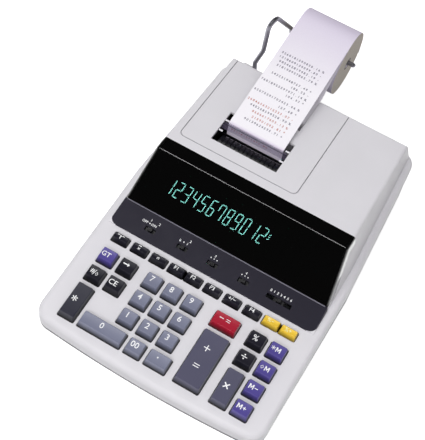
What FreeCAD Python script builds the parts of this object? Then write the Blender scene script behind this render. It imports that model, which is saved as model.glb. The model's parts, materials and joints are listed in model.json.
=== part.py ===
import FreeCAD, Part
import Sketcher
import math
import os

# Desktop printing calculator with a paper roll on a wire holder.
# X runs to the right, Y to the back, Z up, all in millimetres.
# Inside this file the front edge of the case is at Y = 0 and the table at Z = 0.
# Every finished piece is then moved forward by origin_y, so that the origin of
# the whole part is the middle of its box, on the table.

DOCUMENT = FreeCAD.newDocument("calculator")
SHEET = DOCUMENT.addObject("Spreadsheet::Sheet", "sizes")
ORIGIN = FreeCAD.Vector(0, 0, 0)
TO_YZ = FreeCAD.Rotation(FreeCAD.Vector(1, 1, 1), 120)

# Driving sizes, one line for each: name, value, and the overall size it follows.
# A size that follows is given as drawn, and keeps its share when the width,
# the depth or the height of the case changes.
SIZES = """
case_width 226
case_depth 327
ridge_z 80
foot_height 2.5
front_height 18.4
keyboard_slope 5.9
skirt_height 12
wall 2.5
floor_wall 2
front_bow 5
front_corner 16
rear_corner 14
taper_start 176 deep
rear_inset 9.3
skirt_round 5.5
lower_inset 0.6
seam_line_height 0.8
seam_line_depth 1.2
hump_inset 8.2
hump_taper_start 190 deep
hump_rear_inset 7.3
hump_draft 10.8
hump_rear_gap 6
hump_round 3
panel_front_y 113.4 deep
panel_front_rise 1.1
panel_round 7
lens_bottom_y 139.7 deep
lens_bottom_z 38.5 high
ridge_front_y 176 deep
ridge_rear_y 190.7 deep
top_rear_y 322 deep
top_rear_z 73.7 high
lens_return 9
fit_gap 0.3
seam_gap 0.4
printer_left 28 wide
cover_width 120 wide
cover_front_y 200.5 deep
cover_lip_z 67 high
cover_round 5
window_margin 5.25
window_front_y 213 deep
window_depth 38.6 deep
channel_margin 0.8
channel_front_y 277 deep
channel_depth 3.5
feed_slot_front_y 269 deep
feed_slot_depth 15 deep
ledge_width 4
ledge_wall 1.5
paper_width 57
paper_thickness 0.2
roll_radius 32.7
roll_bore 4.2
roll_behind 49
roll_over_pivot 22.9
pivot_behind 4.5
pivot_under_rear 6.2
arch_over_pivot 86
rod_radius 2.3
arm_gap 3.2
pivot_left 93 wide
stem_left 76 wide
ear_width 9
ear_radius 5
rod_end 6
tape_tail 14
column_pitch 20 wide
row_pitch 20 deep
key_width 16.2 wide
key_depth 15.4 deep
key_height 6
key_travel 3
key_top_side 1.2
key_top_front 2.9
key_top_back 1.2
key_corner 1.6
key_gap 0.5
key_flange 1
key_flange_wall 1.1
key_dish 0.5
key_edge 0.5
function_depth 9.4
function_height 4.6
digits_x -39 wide
block_x 65.5 wide
equals_x 34.8 wide
equals_width 25.2 wide
third_x -46 wide
rate_x -27.2 wide
time_x 9.4 wide
sign_x 29.4 wide
markup_x 49.4 wide
point_x 3.6 wide
point_width 21.2 wide
zero_x -52.2 wide
zero_width 43 wide
first_row_y 21.4 deep
function_row_y 103 deep
sheet_wall 1
dome_height 0.9
dome_radius 4
board_wall 1.6
board_half_width 97 wide
board_front_y 14 deep
board_rear_y 110 deep
tube_width 128 wide
tube_height 20
tube_depth 8
tube_left 20 wide
tube_behind 3
knob_width 4
knob_depth 3
knob_height 2
slot_depth 4.4
slot_y 123.8 deep
power_x -68 wide
rate_switch_x -34.5 wide
round_x -3.5 wide
item_x 28.2 wide
decimal_x 64 wide
slot_play 3
decimal_play 10
frame_wall 1.5
frame_margin 8
frame_ahead 10.6
frame_behind 47.4
frame_floor_z 15
frame_top_z 70 high
drum_y 226.6 deep
drum_z 57.5 high
drum_radius 9
drum_shaft_radius 2.5
drum_half_length 31
drum_groove 1.5
drum_teeth 30
feed_radius 7
feed_shaft_radius 2
feed_teeth 24
gear_module 1
gear_width 3
gear_drop_angle 24.3
pressure_angle 20
backlash 0.2
running_gap 0.05
motor_radius 11 high
motor_length 38
motor_z 30 high
motor_ahead 4.6
paper_behind 1.6
tear_bar_ahead 1.1
tear_bar_rise 2
tear_bar_clear 0.6
tear_bar_wall 1.2
tear_tooth 1.3
cassette_depth 9
cassette_height 11.2
cassette_wall 1.2
ribbon_width 3.2
ribbon_gap 0.8
platen_gap 1.6
platen_drop 9.5
transformer_x 66 wide
transformer_y 262 deep
transformer_width 44 wide
transformer_depth 38 deep
transformer_height 40 high
foot_radius 7
foot_x 88 wide
foot_front_y 28 deep
foot_rear_y 296 deep
screw_radius 1.5
screw_head_radius 3
screw_head_height 2
screw_length 10
boss_radius 4
screw_front_x 102.6 wide
screw_front_y 31 deep
screw_rear_x 95.5 wide
screw_rear_y 300 deep
inlet_x 70 wide
inlet_z 16
inlet_radius 4
"""


# Overall sizes as drawn
DRAWN = {"wide": ("case_width", 226), "deep": ("case_depth", 327), "high": ("ridge_z", 80)}


class Size:
    """A length that keeps both its number and the expression that gives it."""

    def __init__(self, text, value):
        self.text = text
        self.value = value

    def __add__(self, other):
        other = size(other)
        return Size("(%s + %s)" % (self.text, other.text), self.value + other.value)

    def __sub__(self, other):
        other = size(other)
        return Size("(%s - %s)" % (self.text, other.text), self.value - other.value)

    def __mul__(self, other):
        other = size(other)
        return Size("(%s * %s)" % (self.text, other.text), self.value * other.value)

    def __truediv__(self, other):
        other = size(other)
        return Size("(%s / %s)" % (self.text, other.text), self.value / other.value)

    def __neg__(self):
        return Size("(0 - %s)" % self.text, -self.value)

    __radd__ = __add__
    __rmul__ = __mul__

    def __rsub__(self, other):
        return size(other) - self


def size(item):
    """Turn a plain number into a Size."""
    if isinstance(item, Size):
        return item
    return Size("%.6f" % item, float(item))


def root_of(item):
    return Size("sqrt(%s)" % item.text, math.sqrt(item.value))


def sine(angle):
    return Size("sin(%s * 1 deg)" % angle.text, math.sin(math.radians(angle.value)))


def cosine(angle):
    return Size("cos(%s * 1 deg)" % angle.text, math.cos(math.radians(angle.value)))


def tangent(angle):
    return Size("tan(%s * 1 deg)" % angle.text, math.tan(math.radians(angle.value)))


def read_sizes():
    """Fill the spreadsheet and return each size under its own name."""
    named = {}
    for row, line in enumerate(SIZES.split("\n")[1:-1], 1):
        name, number, follows = (line + " none").split()[:3]
        value = float(number)
        if follows in DRAWN:
            leader, drawn = DRAWN[follows]
            value *= named[leader].value / drawn
            number = "=%s * %s / %s" % (leader, number, drawn)
        SHEET.set("A%d" % row, name)
        SHEET.set("B%d" % row, number)
        SHEET.setAlias("B%d" % row, name)
        named[name] = Size("sizes.%s" % name, value)
    DOCUMENT.recompute()
    return named


S = read_sizes()
HALF = S["case_width"] / 2
SLOPE = tangent(S["keyboard_slope"])
TALL = 400
FINISHED = {}


def plane_z(y):
    """Height of the sloping keyboard surface at a distance from the front."""
    return S["front_height"] + size(y) * SLOPE


def plane_normal_gap(gap):
    """Vertical drop that leaves a gap measured square to the keyboard."""
    return size(gap) / cosine(S["keyboard_slope"])


def bind(item, prop, value):
    """Give a property its value and the expression that keeps it."""
    item.setExpression(prop, size(value).text)


def place(item, x=0, y=0, z=0, axis=None, angle=None):
    """Bind the position of an object, and its turn about one axis."""
    if axis is not None:
        item.Placement = FreeCAD.Placement(ORIGIN, FreeCAD.Rotation(FreeCAD.Vector(*axis), 10))
        bind(item, "Placement.Rotation.Angle", angle)
    bind(item, "Placement.Base.x", x)
    bind(item, "Placement.Base.y", y)
    bind(item, "Placement.Base.z", z)


def add(kind, name):
    return DOCUMENT.addObject(kind, name)


def box(name, x, y, z, width, depth, height, angle=None):
    """A box from its left, front, bottom corner, which may tilt about X."""
    item = add("Part::Box", name)
    bind(item, "Length", width)
    bind(item, "Width", depth)
    bind(item, "Height", height)
    axis = None if angle is None else (1, 0, 0)
    place(item, x, y, z, axis, angle)
    return item


def centred_box(name, x, y, z, width, depth, height, angle=None):
    """A box from the middle of its bottom face, flat or tilted about X."""
    width = size(width)
    depth = size(depth)
    if angle is None:
        return box(name, size(x) - width / 2, size(y) - depth / 2, z, width, depth, height)
    front = size(y) - depth / 2 * cosine(angle)
    bottom = size(z) - depth / 2 * sine(angle)
    return box(name, size(x) - width / 2, front, bottom, width, depth, height, angle)


def upright(name, x, y, z, radius, height):
    item = add("Part::Cylinder", name)
    bind(item, "Radius", radius)
    bind(item, "Height", height)
    place(item, x, y, z)
    return item


def crosswise(name, x, y, z, radius, length):
    """A cylinder that lies along X, from its left end."""
    item = add("Part::Cylinder", name)
    bind(item, "Radius", radius)
    bind(item, "Height", length)
    item.Placement = FreeCAD.Placement(ORIGIN, FreeCAD.Rotation(FreeCAD.Vector(0, 1, 0), 90))
    bind(item, "Placement.Base.x", x)
    bind(item, "Placement.Base.y", y)
    bind(item, "Placement.Base.z", z)
    return item


def fuse(name, *items):
    item = add("Part::MultiFuse", name)
    item.Shapes = list(items)
    return item


def group(name, *items):
    item = add("Part::Compound", name)
    item.Links = list(items)
    return item


def common(name, first, second):
    item = add("Part::MultiCommon", name)
    item.Shapes = [first, second]
    return item


def cut(name, base, *tools):
    item = add("Part::Cut", name)
    item.Base = base
    item.Tool = tools[0] if len(tools) == 1 else fuse(name + "_tools", *tools)
    return item


def outline(name, corners, rotation=None):
    """A closed sketch of straight edges, each corner bound to its two sizes."""
    sketch = add("Sketcher::SketchObject", name)
    fill_outline(sketch, corners)
    if rotation is not None:
        sketch.Placement = FreeCAD.Placement(ORIGIN, rotation)
    return sketch


def fill_outline(sketch, corners):
    points = [FreeCAD.Vector(size(a).value, size(b).value, 0) for a, b in corners]
    count = len(points)
    for index in range(count):
        sketch.addGeometry(Part.LineSegment(points[index], points[(index + 1) % count]), False)
    for index in range(count):
        sketch.addConstraint(Sketcher.Constraint("Coincident", index, 2, (index + 1) % count, 1))
    for index, (first, second) in enumerate(corners):
        for kind, value in (("DistanceX", size(first)), ("DistanceY", size(second))):
            number = sketch.addConstraint(Sketcher.Constraint(kind, -1, 1, index, 1, value.value))
            sketch.setExpression("Constraints[%d]" % number, value.text)


def side_prism(name, corners, half_width):
    """A solid with a side outline in Y and Z, as wide on both sides of X = 0."""
    item = add("Part::Extrusion", name)
    item.Base = outline(name + "_outline", corners, TO_YZ)
    item.DirMode = "Normal"
    item.Solid = True
    item.Symmetric = True
    bind(item, "LengthFwd", size(half_width) * 2)
    return item


def plan_prism(name, corners, height):
    """A solid with a plan outline in X and Y, from Z = 0 up."""
    item = add("Part::Extrusion", name)
    item.Base = outline(name + "_outline", corners)
    item.DirMode = "Normal"
    item.Solid = True
    bind(item, "LengthFwd", height)
    return item


def mirrored(corners):
    """Add the left half to the right half of a plan outline."""
    return corners + [(-size(x), y) for x, y in reversed(corners)]


def rounded(name, base, choose, radius):
    """Round the edges of an object that a test picks."""
    if base.Shape.isNull():
        DOCUMENT.recompute()
    numbers = [n for n, edge in enumerate(base.Shape.Edges, 1) if choose(edge)]
    item = add("Part::Fillet", name)
    item.Base = base
    value = size(radius).value
    item.Edges = [(number, value, value) for number in numbers]
    return item


def is_upright(edge):
    """True for a straight edge that runs along Z."""
    if len(edge.Vertexes) != 2:
        return False
    first, last = (vertex.Point for vertex in edge.Vertexes)
    return abs(first.x - last.x) < 0.01 and abs(first.y - last.y) < 0.01


def finish(label, item):
    """Move a finished piece to the origin of the whole part and keep it."""
    item.Label = label
    if item.TypeId != "PartDesign::Body":
        place(item, 0, -ORIGIN_Y, 0)
    FINISHED[label] = item
    return item


def paper_half():
    return S["paper_width"] / 2


TAPE_GAP = S["running_gap"]
PRINTER_X = -S["printer_left"]
WINDOW_WIDTH = S["paper_width"] + S["window_margin"] * 2
CHANNEL_WIDTH = S["paper_width"] + S["channel_margin"] * 2
FRAME_HALF = paper_half() + S["frame_margin"]
FRAME_FRONT = S["drum_y"] - S["drum_radius"] - S["frame_ahead"]
FRAME_REAR = S["drum_y"] + S["frame_behind"]
PAPER_Y = S["drum_y"] + S["drum_radius"] + S["paper_behind"]
TEAR_Y = PAPER_Y - S["tear_bar_ahead"]
PLATEN_LOW = S["drum_z"] - S["platen_drop"]
PIVOT_Y = S["case_depth"] + S["pivot_behind"]
PIVOT_Z = plane_z(S["case_depth"]) - S["pivot_under_rear"]
ROLL_Y = S["case_depth"] + S["roll_behind"]
ROLL_Z = PIVOT_Z + S["roll_over_pivot"]
BACK_Y = ROLL_Y + S["roll_radius"] + TAPE_GAP + S["paper_thickness"]
ORIGIN_Y = BACK_Y / 2
SEAM_DROP = S["skirt_height"]
DEEP = 40


# Case outline

def case_plan(name, inset):
    """Plan of the case, drawn in by an inset: bowed front, tapering rear."""
    side = HALF - inset
    rear_side = side - S["rear_inset"]
    rear = S["case_depth"] - inset
    half = [(side, -DEEP), (side, S["taper_start"]), (rear_side, rear)]
    prism = plan_prism(name + "_prism", mirrored(half), TALL)
    bow = HALF * HALF / (S["front_bow"] * 2) + S["front_bow"] / 2
    front = upright(name + "_bow", 0, bow, 0, bow - inset, TALL)
    bowed = common(name + "_bowed", prism, front)
    middle = S["case_depth"].value / 2

    def front_corner(edge):
        return is_upright(edge) and edge.Vertexes[0].Y < middle / 2

    def rear_corner(edge):
        return is_upright(edge) and edge.Vertexes[0].Y > middle * 1.5

    corners = rounded(name + "_front", bowed, front_corner, S["front_corner"] - inset)
    return rounded(name, corners, rear_corner, S["rear_corner"] - inset)


def band_corners(low, high):
    """Side outline between two heights given at the front and at the rear."""
    front = size(-DEEP)
    rear = S["case_depth"] + DEEP
    return [(front, low(front)), (rear, low(rear)), (rear, high(rear)), (front, high(front))]


def seam_z(y):
    return plane_z(y) - SEAM_DROP


def flat_at(height):
    return lambda y: size(height)


def on_keyboard_plane(edge):
    return all(abs(v.Z - plane_z(v.Y).value) < 0.01 for v in edge.Vertexes)


# Hump that carries the display and the printer

LENS_RUN = S["ridge_front_y"] - S["lens_bottom_y"]
LENS_RISE = S["ridge_z"] - S["lens_bottom_z"]
LENS_LENGTH = root_of(LENS_RUN * LENS_RUN + LENS_RISE * LENS_RISE)
TOE_Z = plane_z(S["panel_front_y"]) + S["panel_front_rise"]
TOE_RUN = S["lens_bottom_y"] - S["panel_front_y"]
TOE_RISE = S["lens_bottom_z"] - TOE_Z
TOE_LENGTH = root_of(TOE_RUN * TOE_RUN + TOE_RISE * TOE_RISE)
TOP_FALL = (S["ridge_z"] - S["top_rear_z"]) / (S["top_rear_y"] - S["ridge_front_y"])


def top_z(y):
    """Height of the sloping top of the hump."""
    return S["ridge_z"] - (size(y) - S["ridge_front_y"]) * TOP_FALL


def lens_shift(inset):
    """How far back a line parallel to the lens lies for an inset square to it."""
    return size(inset) * LENS_LENGTH / LENS_RISE


def hump_side(inset, front_gap, low):
    """Side outline of the hump in Y and Z, drawn in by an inset."""
    toe_slope = TOE_RISE / TOE_RUN
    lens_slope = LENS_RISE / LENS_RUN
    toe_drop = size(inset) * TOE_LENGTH / TOE_RUN
    shift = lens_shift(inset)
    front = S["panel_front_y"] + front_gap
    along = (lens_slope * shift - toe_drop) / (lens_slope - toe_slope)
    knee_z = S["lens_bottom_z"] - toe_drop + toe_slope * along
    lens_y = S["lens_bottom_y"] + shift
    level = LENS_RISE - inset + S["ridge_front_y"] * TOP_FALL + lens_y * lens_slope
    ridge_y = level / (lens_slope + TOP_FALL)
    rear = S["case_depth"] + DEEP
    return [
        (front, plane_z(front) - low),
        (front, TOE_Z - toe_drop + toe_slope * front_gap),
        (S["lens_bottom_y"] + along, knee_z),
        (ridge_y, top_z(ridge_y) - inset),
        (rear, top_z(rear) - inset),
        (rear, plane_z(rear) - low),
    ]


def drafted(name, inset, below):
    """Solid with walls that lean in, standing square on the keyboard plane."""
    side = HALF - S["hump_inset"] - inset
    level = cosine(S["keyboard_slope"])
    rear = (S["case_depth"] - S["hump_rear_gap"] - inset) / level
    front = S["panel_front_y"] / 2
    half = [(side, front), (side, S["hump_taper_start"] / level), (side - S["hump_rear_inset"], rear)]
    item = add("Part::Extrusion", name)
    item.Base = outline(name + "_outline", mirrored(half))
    item.DirMode = "Normal"
    item.Solid = True
    bind(item, "LengthFwd", S["ridge_z"])
    bind(item, "TaperAngle", -S["hump_draft"])
    place(item.Base, 0, 0, S["front_height"] - size(below), (1, 0, 0), S["keyboard_slope"])
    return item


def hump_rear_y(z, inset, below):
    """Y of the leaning rear wall at a height, for walls drawn in and lowered by given sizes."""
    slope = S["keyboard_slope"]
    lean = tangent(S["hump_draft"])
    foot = (S["case_depth"] - S["hump_rear_gap"] - inset) / cosine(slope)
    rise = size(z) - S["front_height"] + below - foot * sine(slope)
    above = rise / (cosine(slope) - lean * sine(slope))
    return (foot - above * lean) * cosine(slope) - above * sine(slope)


def hump_outer():
    prism = side_prism("hump_side", hump_side(0, size(0), size(DEEP)), HALF)
    below = S["skirt_round"] + 1
    walls = drafted("hump_walls", -(tangent(S["hump_draft"]) * below), below)
    block = common("hump_block", prism, walls)
    lens_z = S["lens_bottom_z"].value
    rear = S["case_depth"].value * 0.9

    def above_plane(vertex):
        return vertex.Z > plane_z(vertex.Y).value + 0.5

    def chosen(edge):
        if not all(above_plane(vertex) for vertex in edge.Vertexes):
            return False
        if all(abs(vertex.Z - lens_z) < 0.1 for vertex in edge.Vertexes):
            return False
        if all(vertex.Z < lens_z + 0.1 and vertex.Y < rear for vertex in edge.Vertexes):
            return False
        return True

    return rounded("hump", block, chosen, S["hump_round"])


def lens_zone(name):
    """Side prism that holds the lens: its face, its top band and its side returns."""
    back = lens_shift(S["lens_return"])
    low = S["lens_bottom_z"]
    under = S["ridge_z"] - S["lens_return"]
    rear = S["ridge_rear_y"]
    bend_y = S["lens_bottom_y"] + back + (under - S["lens_bottom_z"]) * LENS_RUN / LENS_RISE
    front = S["panel_front_y"]
    high = S["ridge_z"] + DEEP
    corners = [
        (front, low),
        (S["lens_bottom_y"] + back, low),
        (bend_y, under),
        (rear, under),
        (rear, high),
        (front, high),
    ]
    return side_prism(name, corners, HALF)


def panel_zone(name):
    """Side prism in front of the foot of the lens, above the keyboard."""
    front = S["panel_front_y"] - DEEP / 4
    rear = S["lens_bottom_y"]
    corners = [
        (front, plane_z(front)),
        (rear, plane_z(rear)),
        (rear, S["lens_bottom_z"]),
        (front, S["lens_bottom_z"]),
    ]
    radius = S["panel_round"]
    edge = HALF - S["hump_inset"]
    depth = S["panel_front_y"] + radius - front
    low = plane_z(front) - DEEP / 4
    high = S["lens_bottom_z"] + DEEP
    cutters = []
    for side, left, middle in (("left", -HALF, radius - edge), ("right", edge - radius, edge - radius)):
        block = box(name + "_block_" + side, left, front, low, HALF - edge + radius, depth, high)
        disc = upright(name + "_disc_" + side, middle, S["panel_front_y"] + radius, 0, radius, high * 2)
        cutters.append(cut(name + "_corner_" + side, block, disc))
    return cut(name, side_prism(name + "_prism", corners, HALF), *cutters)


# Keys: name, middle in X, middle in Y, width, depth, height above the keyboard

def row_y(row):
    return S["first_row_y"] + S["row_pitch"] * size(row)


def key_list():
    unit = S["key_width"]
    depth = S["key_depth"]
    tall = S["key_depth"] + S["row_pitch"]
    tallest = tall + S["row_pitch"]
    pitch = S["column_pitch"]
    pair = unit + S["key_gap"] * 2
    outer = S["block_x"] + pitch
    top = S["key_height"]
    low = S["function_height"]
    keys = []

    def key(name, x, row, width=unit, long=depth, height=top):
        keys.append((name, size(x), row_y(row), width, long, height))

    key("key_grand_total", -outer, 3)
    key("key_backspace", -S["block_x"], 3)
    key("key_subtotal", -outer, 2)
    key("key_clear_entry", -S["block_x"], 2)
    key("key_total", -outer, 0.5, unit, tall)
    digits = ("one", "two", "three", "four", "five", "six", "seven", "eight", "nine")
    for index, word in enumerate(digits):
        x = S["digits_x"] + pitch * size(index % 3)
        key("key_" + word, x, 1 + index // 3)
    key("key_zero", S["zero_x"], 0, S["zero_width"])
    key("key_double_zero", S["digits_x"] + pitch, 0)
    key("key_point", S["point_x"], 0, S["point_width"])
    key("key_minus_equals", S["equals_x"], 3, S["equals_width"])
    key("key_plus_equals", S["equals_x"], 1, S["equals_width"], tallest)
    key("key_percent", S["block_x"], 3)
    key("key_divide", S["block_x"], 2)
    key("key_multiply", S["block_x"], 0.5, unit, tall)
    memory = ("memory_plus", "memory_minus", "memory_subtotal", "memory_total")
    for index, word in enumerate(memory):
        key("key_" + word, outer, index)
    places = (
        ("key_paper_feed", -outer),
        ("key_average", -S["block_x"]),
        ("key_item_count", S["third_x"]),
        ("key_rate_set", S["rate_x"]),
        ("key_rate_recall", S["rate_x"] + pair),
        ("key_time", S["time_x"]),
        ("key_sign", S["sign_x"]),
        ("key_markup", S["markup_x"]),
        ("key_tax_minus", outer - pair),
        ("key_tax_plus", outer),
    )
    for name, x in places:
        keys.append((name, size(x), S["function_row_y"], unit, S["function_depth"], low))
    return keys


KEYS = key_list()
FLANGE_DROP = S["wall"] + S["fit_gap"] / 2
KEY_BOTTOM = FLANGE_DROP + S["key_flange_wall"]
DOME_DROP = KEY_BOTTOM + S["key_travel"] + S["fit_gap"] / 2
SHEET_DROP = DOME_DROP + S["dome_height"]
BOARD_DROP = SHEET_DROP + S["sheet_wall"]


def key_wells():
    """A rounded hole through the keyboard around each key."""
    blocks = []
    gap = S["key_gap"]
    reach = S["wall"] * 3
    tall = reach.value * 2
    for name, x, y, width, depth, height in KEYS:
        blocks.append(centred_box(
            name + "_well_block", x, y + reach * SLOPE, plane_z(y) - reach,
            width + gap * 2, depth + gap * 2, reach * 2, S["keyboard_slope"],
        ))
    DOCUMENT.recompute()

    def stands(edge):
        return abs(edge.Length - tall) < 0.01

    return [rounded(block.Name[:-6], block, stands, S["key_corner"]) for block in blocks]


def rectangle(width, depth, y=0):
    """Corners of a rectangle about X = 0 and a middle in Y."""
    x = size(width) / 2
    front = size(y) - size(depth) / 2
    back = size(y) + size(depth) / 2
    return [(-x, front), (x, front), (x, back), (-x, back)]


def origin_feature(body, role):
    """One of the planes or axes that a body starts from."""
    return [f for f in body.Origin.OriginFeatures if f.Role == role][0]


def flat_sketch(body, name, corners, height):
    """A sketch in a body, level with its XY plane at a bound height."""
    sketch = body.newObject("Sketcher::SketchObject", name)
    sketch.AttachmentSupport = [(origin_feature(body, "XY_Plane"), "")]
    sketch.MapMode = "FlatFace"
    bind(sketch, "AttachmentOffset.Base.z", height)
    fill_outline(sketch, corners)
    return sketch


def key_block(name, x, y, width, depth, height):
    """Keycap with a stem through the keyboard and a flange that holds it in."""
    body = add("PartDesign::Body", name)
    stem = body.newObject("PartDesign::Pad", name + "_stem")
    stem.Profile = flat_sketch(body, name + "_stem_plan", rectangle(width, depth), -FLANGE_DROP)
    bind(stem, "Length", FLANGE_DROP)
    reach = depth + (S["key_gap"] + S["key_flange"]) * 2
    flange = body.newObject("PartDesign::Pad", name + "_flange")
    flange.Profile = flat_sketch(body, name + "_flange_plan", rectangle(width, reach), -KEY_BOTTOM)
    bind(flange, "Length", S["key_flange_wall"])
    top_depth = depth - S["key_top_front"] - S["key_top_back"]
    top_y = (S["key_top_front"] - S["key_top_back"]) / 2
    top = rectangle(width - S["key_top_side"] * 2, top_depth, top_y)
    cap = body.newObject("PartDesign::AdditiveLoft", name + "_cap")
    cap.Profile = flat_sketch(body, name + "_cap_plan", rectangle(width, depth), 0)
    cap.Sections = [flat_sketch(body, name + "_top_plan", top, height)]
    cap.Ruled = True
    dish = body.newObject("PartDesign::SubtractiveCylinder", name + "_dish")
    bow = top_depth * top_depth / (S["key_dish"] * 8) + S["key_dish"] / 2
    dish.AttachmentOffset = FreeCAD.Placement(ORIGIN, FreeCAD.Rotation(FreeCAD.Vector(0, 1, 0), 90))
    dish.AttachmentSupport = [(origin_feature(body, "XY_Plane"), "")]
    dish.MapMode = "FlatFace"
    bind(dish, "Radius", bow)
    bind(dish, "Height", width * 2)
    bind(dish, "AttachmentOffset.Base.x", -width)
    bind(dish, "AttachmentOffset.Base.y", top_y)
    bind(dish, "AttachmentOffset.Base.z", height + bow - S["key_dish"])
    body.Tip = dish
    place(body, x, y - ORIGIN_Y, plane_z(y), (1, 0, 0), S["keyboard_slope"])
    return finish(name, body)


def round_key(body, suffix, edges, radius):
    """Round some edges of the last feature of a key."""
    last = body.Tip
    feature = body.newObject("PartDesign::Fillet", body.Name + suffix)
    feature.Base = (last, edges)
    bind(feature, "Radius", radius)
    body.Tip = feature


def make_keys():
    bodies = [key_block(*values) for values in KEYS]
    DOCUMENT.recompute()
    for body in bodies:
        round_key(body, "_corners", key_corner_edges(body.Tip.Shape), S["key_corner"] / 2)
    DOCUMENT.recompute()
    for body, values in zip(bodies, KEYS):
        round_key(body, "_rim", key_rim_edges(body.Tip.Shape, values[-1].value), S["key_edge"])
    DOCUMENT.recompute()


def key_corner_edges(shape):
    """The four leaning corner edges of a keycap."""
    names = []
    for number, edge in enumerate(shape.Edges, 1):
        first, last = (vertex.Point for vertex in edge.Vertexes)
        climbs = abs(first.z - last.z) > 1
        above = min(first.z, last.z) > -0.01
        if climbs and above:
            names.append("Edge%d" % number)
    return names


def key_rim_edges(shape, height):
    """The edges around the top of a keycap."""
    names = []
    for number, edge in enumerate(shape.Edges, 1):
        middle = edge.valueAt((edge.FirstParameter + edge.LastParameter) / 2)
        ends = [vertex.Point.z for vertex in edge.Vertexes]
        if min(ends) > height - 1.2 and middle.z > height - 1.2:
            names.append("Edge%d" % number)
    return names


# Case shells

def angle_of(rise, run):
    text = "(atan2(%s; %s) / 1 deg)" % (rise.text, run.text)
    return Size(text, math.degrees(math.atan2(rise.value, run.value)))


TOP_ANGLE = -angle_of(S["ridge_z"] - S["top_rear_z"], S["top_rear_y"] - S["ridge_front_y"])
LENS_ANGLE = angle_of(LENS_RISE, LENS_RUN)
TOE_ANGLE = angle_of(TOE_RISE, TOE_RUN)
BOARD_Z = S["foot_height"] + S["floor_wall"] * 4.5
FLOOR_Z = S["foot_height"] + S["floor_wall"]
SCREW_SEAT_Z = FLOOR_Z + S["screw_head_height"]


def cover_block(name, grow):
    """Block that the printer cover fills, open to the back."""
    width = S["cover_width"] + size(grow) * 2
    front = S["cover_front_y"] - grow
    low = S["cover_lip_z"] - grow
    depth = S["case_depth"] - front
    block = box(name + "_box", PRINTER_X - width / 2, front, low, width, depth, S["ridge_z"])
    DOCUMENT.recompute()
    turn = front.value + 1

    def front_corner(edge):
        return is_upright(edge) and edge.Vertexes[0].Y < turn

    return rounded(name, block, front_corner, S["cover_round"] + grow)


def window_block(name):
    """The paper window in the printer cover."""
    width = WINDOW_WIDTH
    return box(
        name, PRINTER_X - width / 2, S["window_front_y"], S["cover_lip_z"] - 5,
        width, S["window_depth"], S["ridge_z"],
    )


def top_box(name, width, front, depth, top_drop, height):
    """A box under the sloping top, centred on the printer."""
    angle = TOP_ANGLE
    z = top_z(front) - top_drop - height
    return box(name, PRINTER_X - size(width) / 2, front, z, width, depth, height, angle)


def printer_cover(hump, space):
    plate = cut("cover_plate", common("cover_skin", hump, cover_block("cover_zone", size(0))), space)
    slot_front = S["feed_slot_front_y"]
    tray_wall = S["wall"]
    wall = S["wall"]
    rear_z = top_z(S["top_rear_y"]) - wall / 2
    tray_depth = hump_rear_y(rear_z, wall / 2, wall) - slot_front
    tray = top_box(
        "cover_tray", CHANNEL_WIDTH + tray_wall * 2, slot_front - tray_wall, tray_depth,
        S["wall"] / 2, S["channel_depth"] + tray_wall / 2,
    )
    channel = top_box(
        "cover_channel", CHANNEL_WIDTH, S["channel_front_y"], S["case_depth"] / 2,
        S["channel_depth"] - S["ridge_z"], S["ridge_z"],
    )
    slot = box(
        "cover_slot", PRINTER_X - CHANNEL_WIDTH / 2, slot_front, S["cover_lip_z"] - 5,
        CHANNEL_WIDTH, S["feed_slot_depth"], S["ridge_z"],
    )
    body = fuse("cover_body", plate, tray)
    return finish("printer_cover", cut("cover", body, window_block("cover_window"), channel, slot))


def cover_ledges():
    """Two rails of the upper case that carry the sides of the cover."""
    rails = []
    half = S["cover_width"] / 2
    front = S["cover_front_y"] - S["ledge_width"]
    rear_z = top_z(S["top_rear_y"]) - S["wall"]
    length = hump_rear_y(rear_z, S["wall"], S["wall"] * 2) - S["fit_gap"] - front
    inner = half - S["ledge_width"]
    outer = half + S["ledge_width"]
    joint = half + S["seam_gap"]
    low = top_z(front) - S["wall"] - S["ledge_wall"] - S["running_gap"]
    high = S["ledge_wall"] + S["running_gap"] + S["wall"] / 2
    for name, shelf_x, riser_x in (
        ("left", PRINTER_X - outer, PRINTER_X - outer),
        ("right", PRINTER_X + inner, PRINTER_X + joint),
    ):
        rails.append(box(
            "cover_rail_" + name, shelf_x, front, low, outer - inner, length, S["ledge_wall"], TOP_ANGLE,
        ))
        rails.append(box(
            "cover_riser_" + name, riser_x, front, low, outer - joint, length, high, TOP_ANGLE,
        ))
    return rails


def switch_slots():
    """Slots in the switch panel: name, middle in X, length, travel each way."""
    short = S["knob_width"] + S["slot_play"] * 2 + S["fit_gap"] * 2
    long = S["knob_width"] + S["decimal_play"] * 2 + S["fit_gap"] * 2
    return [
        ("switch_power", S["power_x"], short),
        ("switch_rate", S["rate_switch_x"], short),
        ("switch_round", S["round_x"], short),
        ("switch_item", S["item_x"], short),
        ("switch_decimal", S["decimal_x"], long),
    ]


def toe_point(y):
    """Height of the switch panel's face."""
    return TOE_Z + (size(y) - S["panel_front_y"]) * TOE_RISE / TOE_RUN


def toe_box(name, x, y, drop, width, depth, height):
    """A box square to the switch panel, its top a drop below the face."""
    below = size(drop) + height
    return centred_box(
        name, x, size(y) + below * sine(TOE_ANGLE), toe_point(y) - below * cosine(TOE_ANGLE),
        width, depth, height, TOE_ANGLE,
    )


def switch_panel(hump, space):
    skin = cut("panel_skin", common("panel_block", hump, panel_zone("panel_zone_side")), space)
    depth = S["wall"] * 4
    slots = [
        toe_box(name + "_slot", x, S["slot_y"], -depth / 2, long, S["slot_depth"], depth)
        for name, x, long in switch_slots()
    ]
    return finish("switch_panel", cut("panel", skin, *slots))


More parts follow.
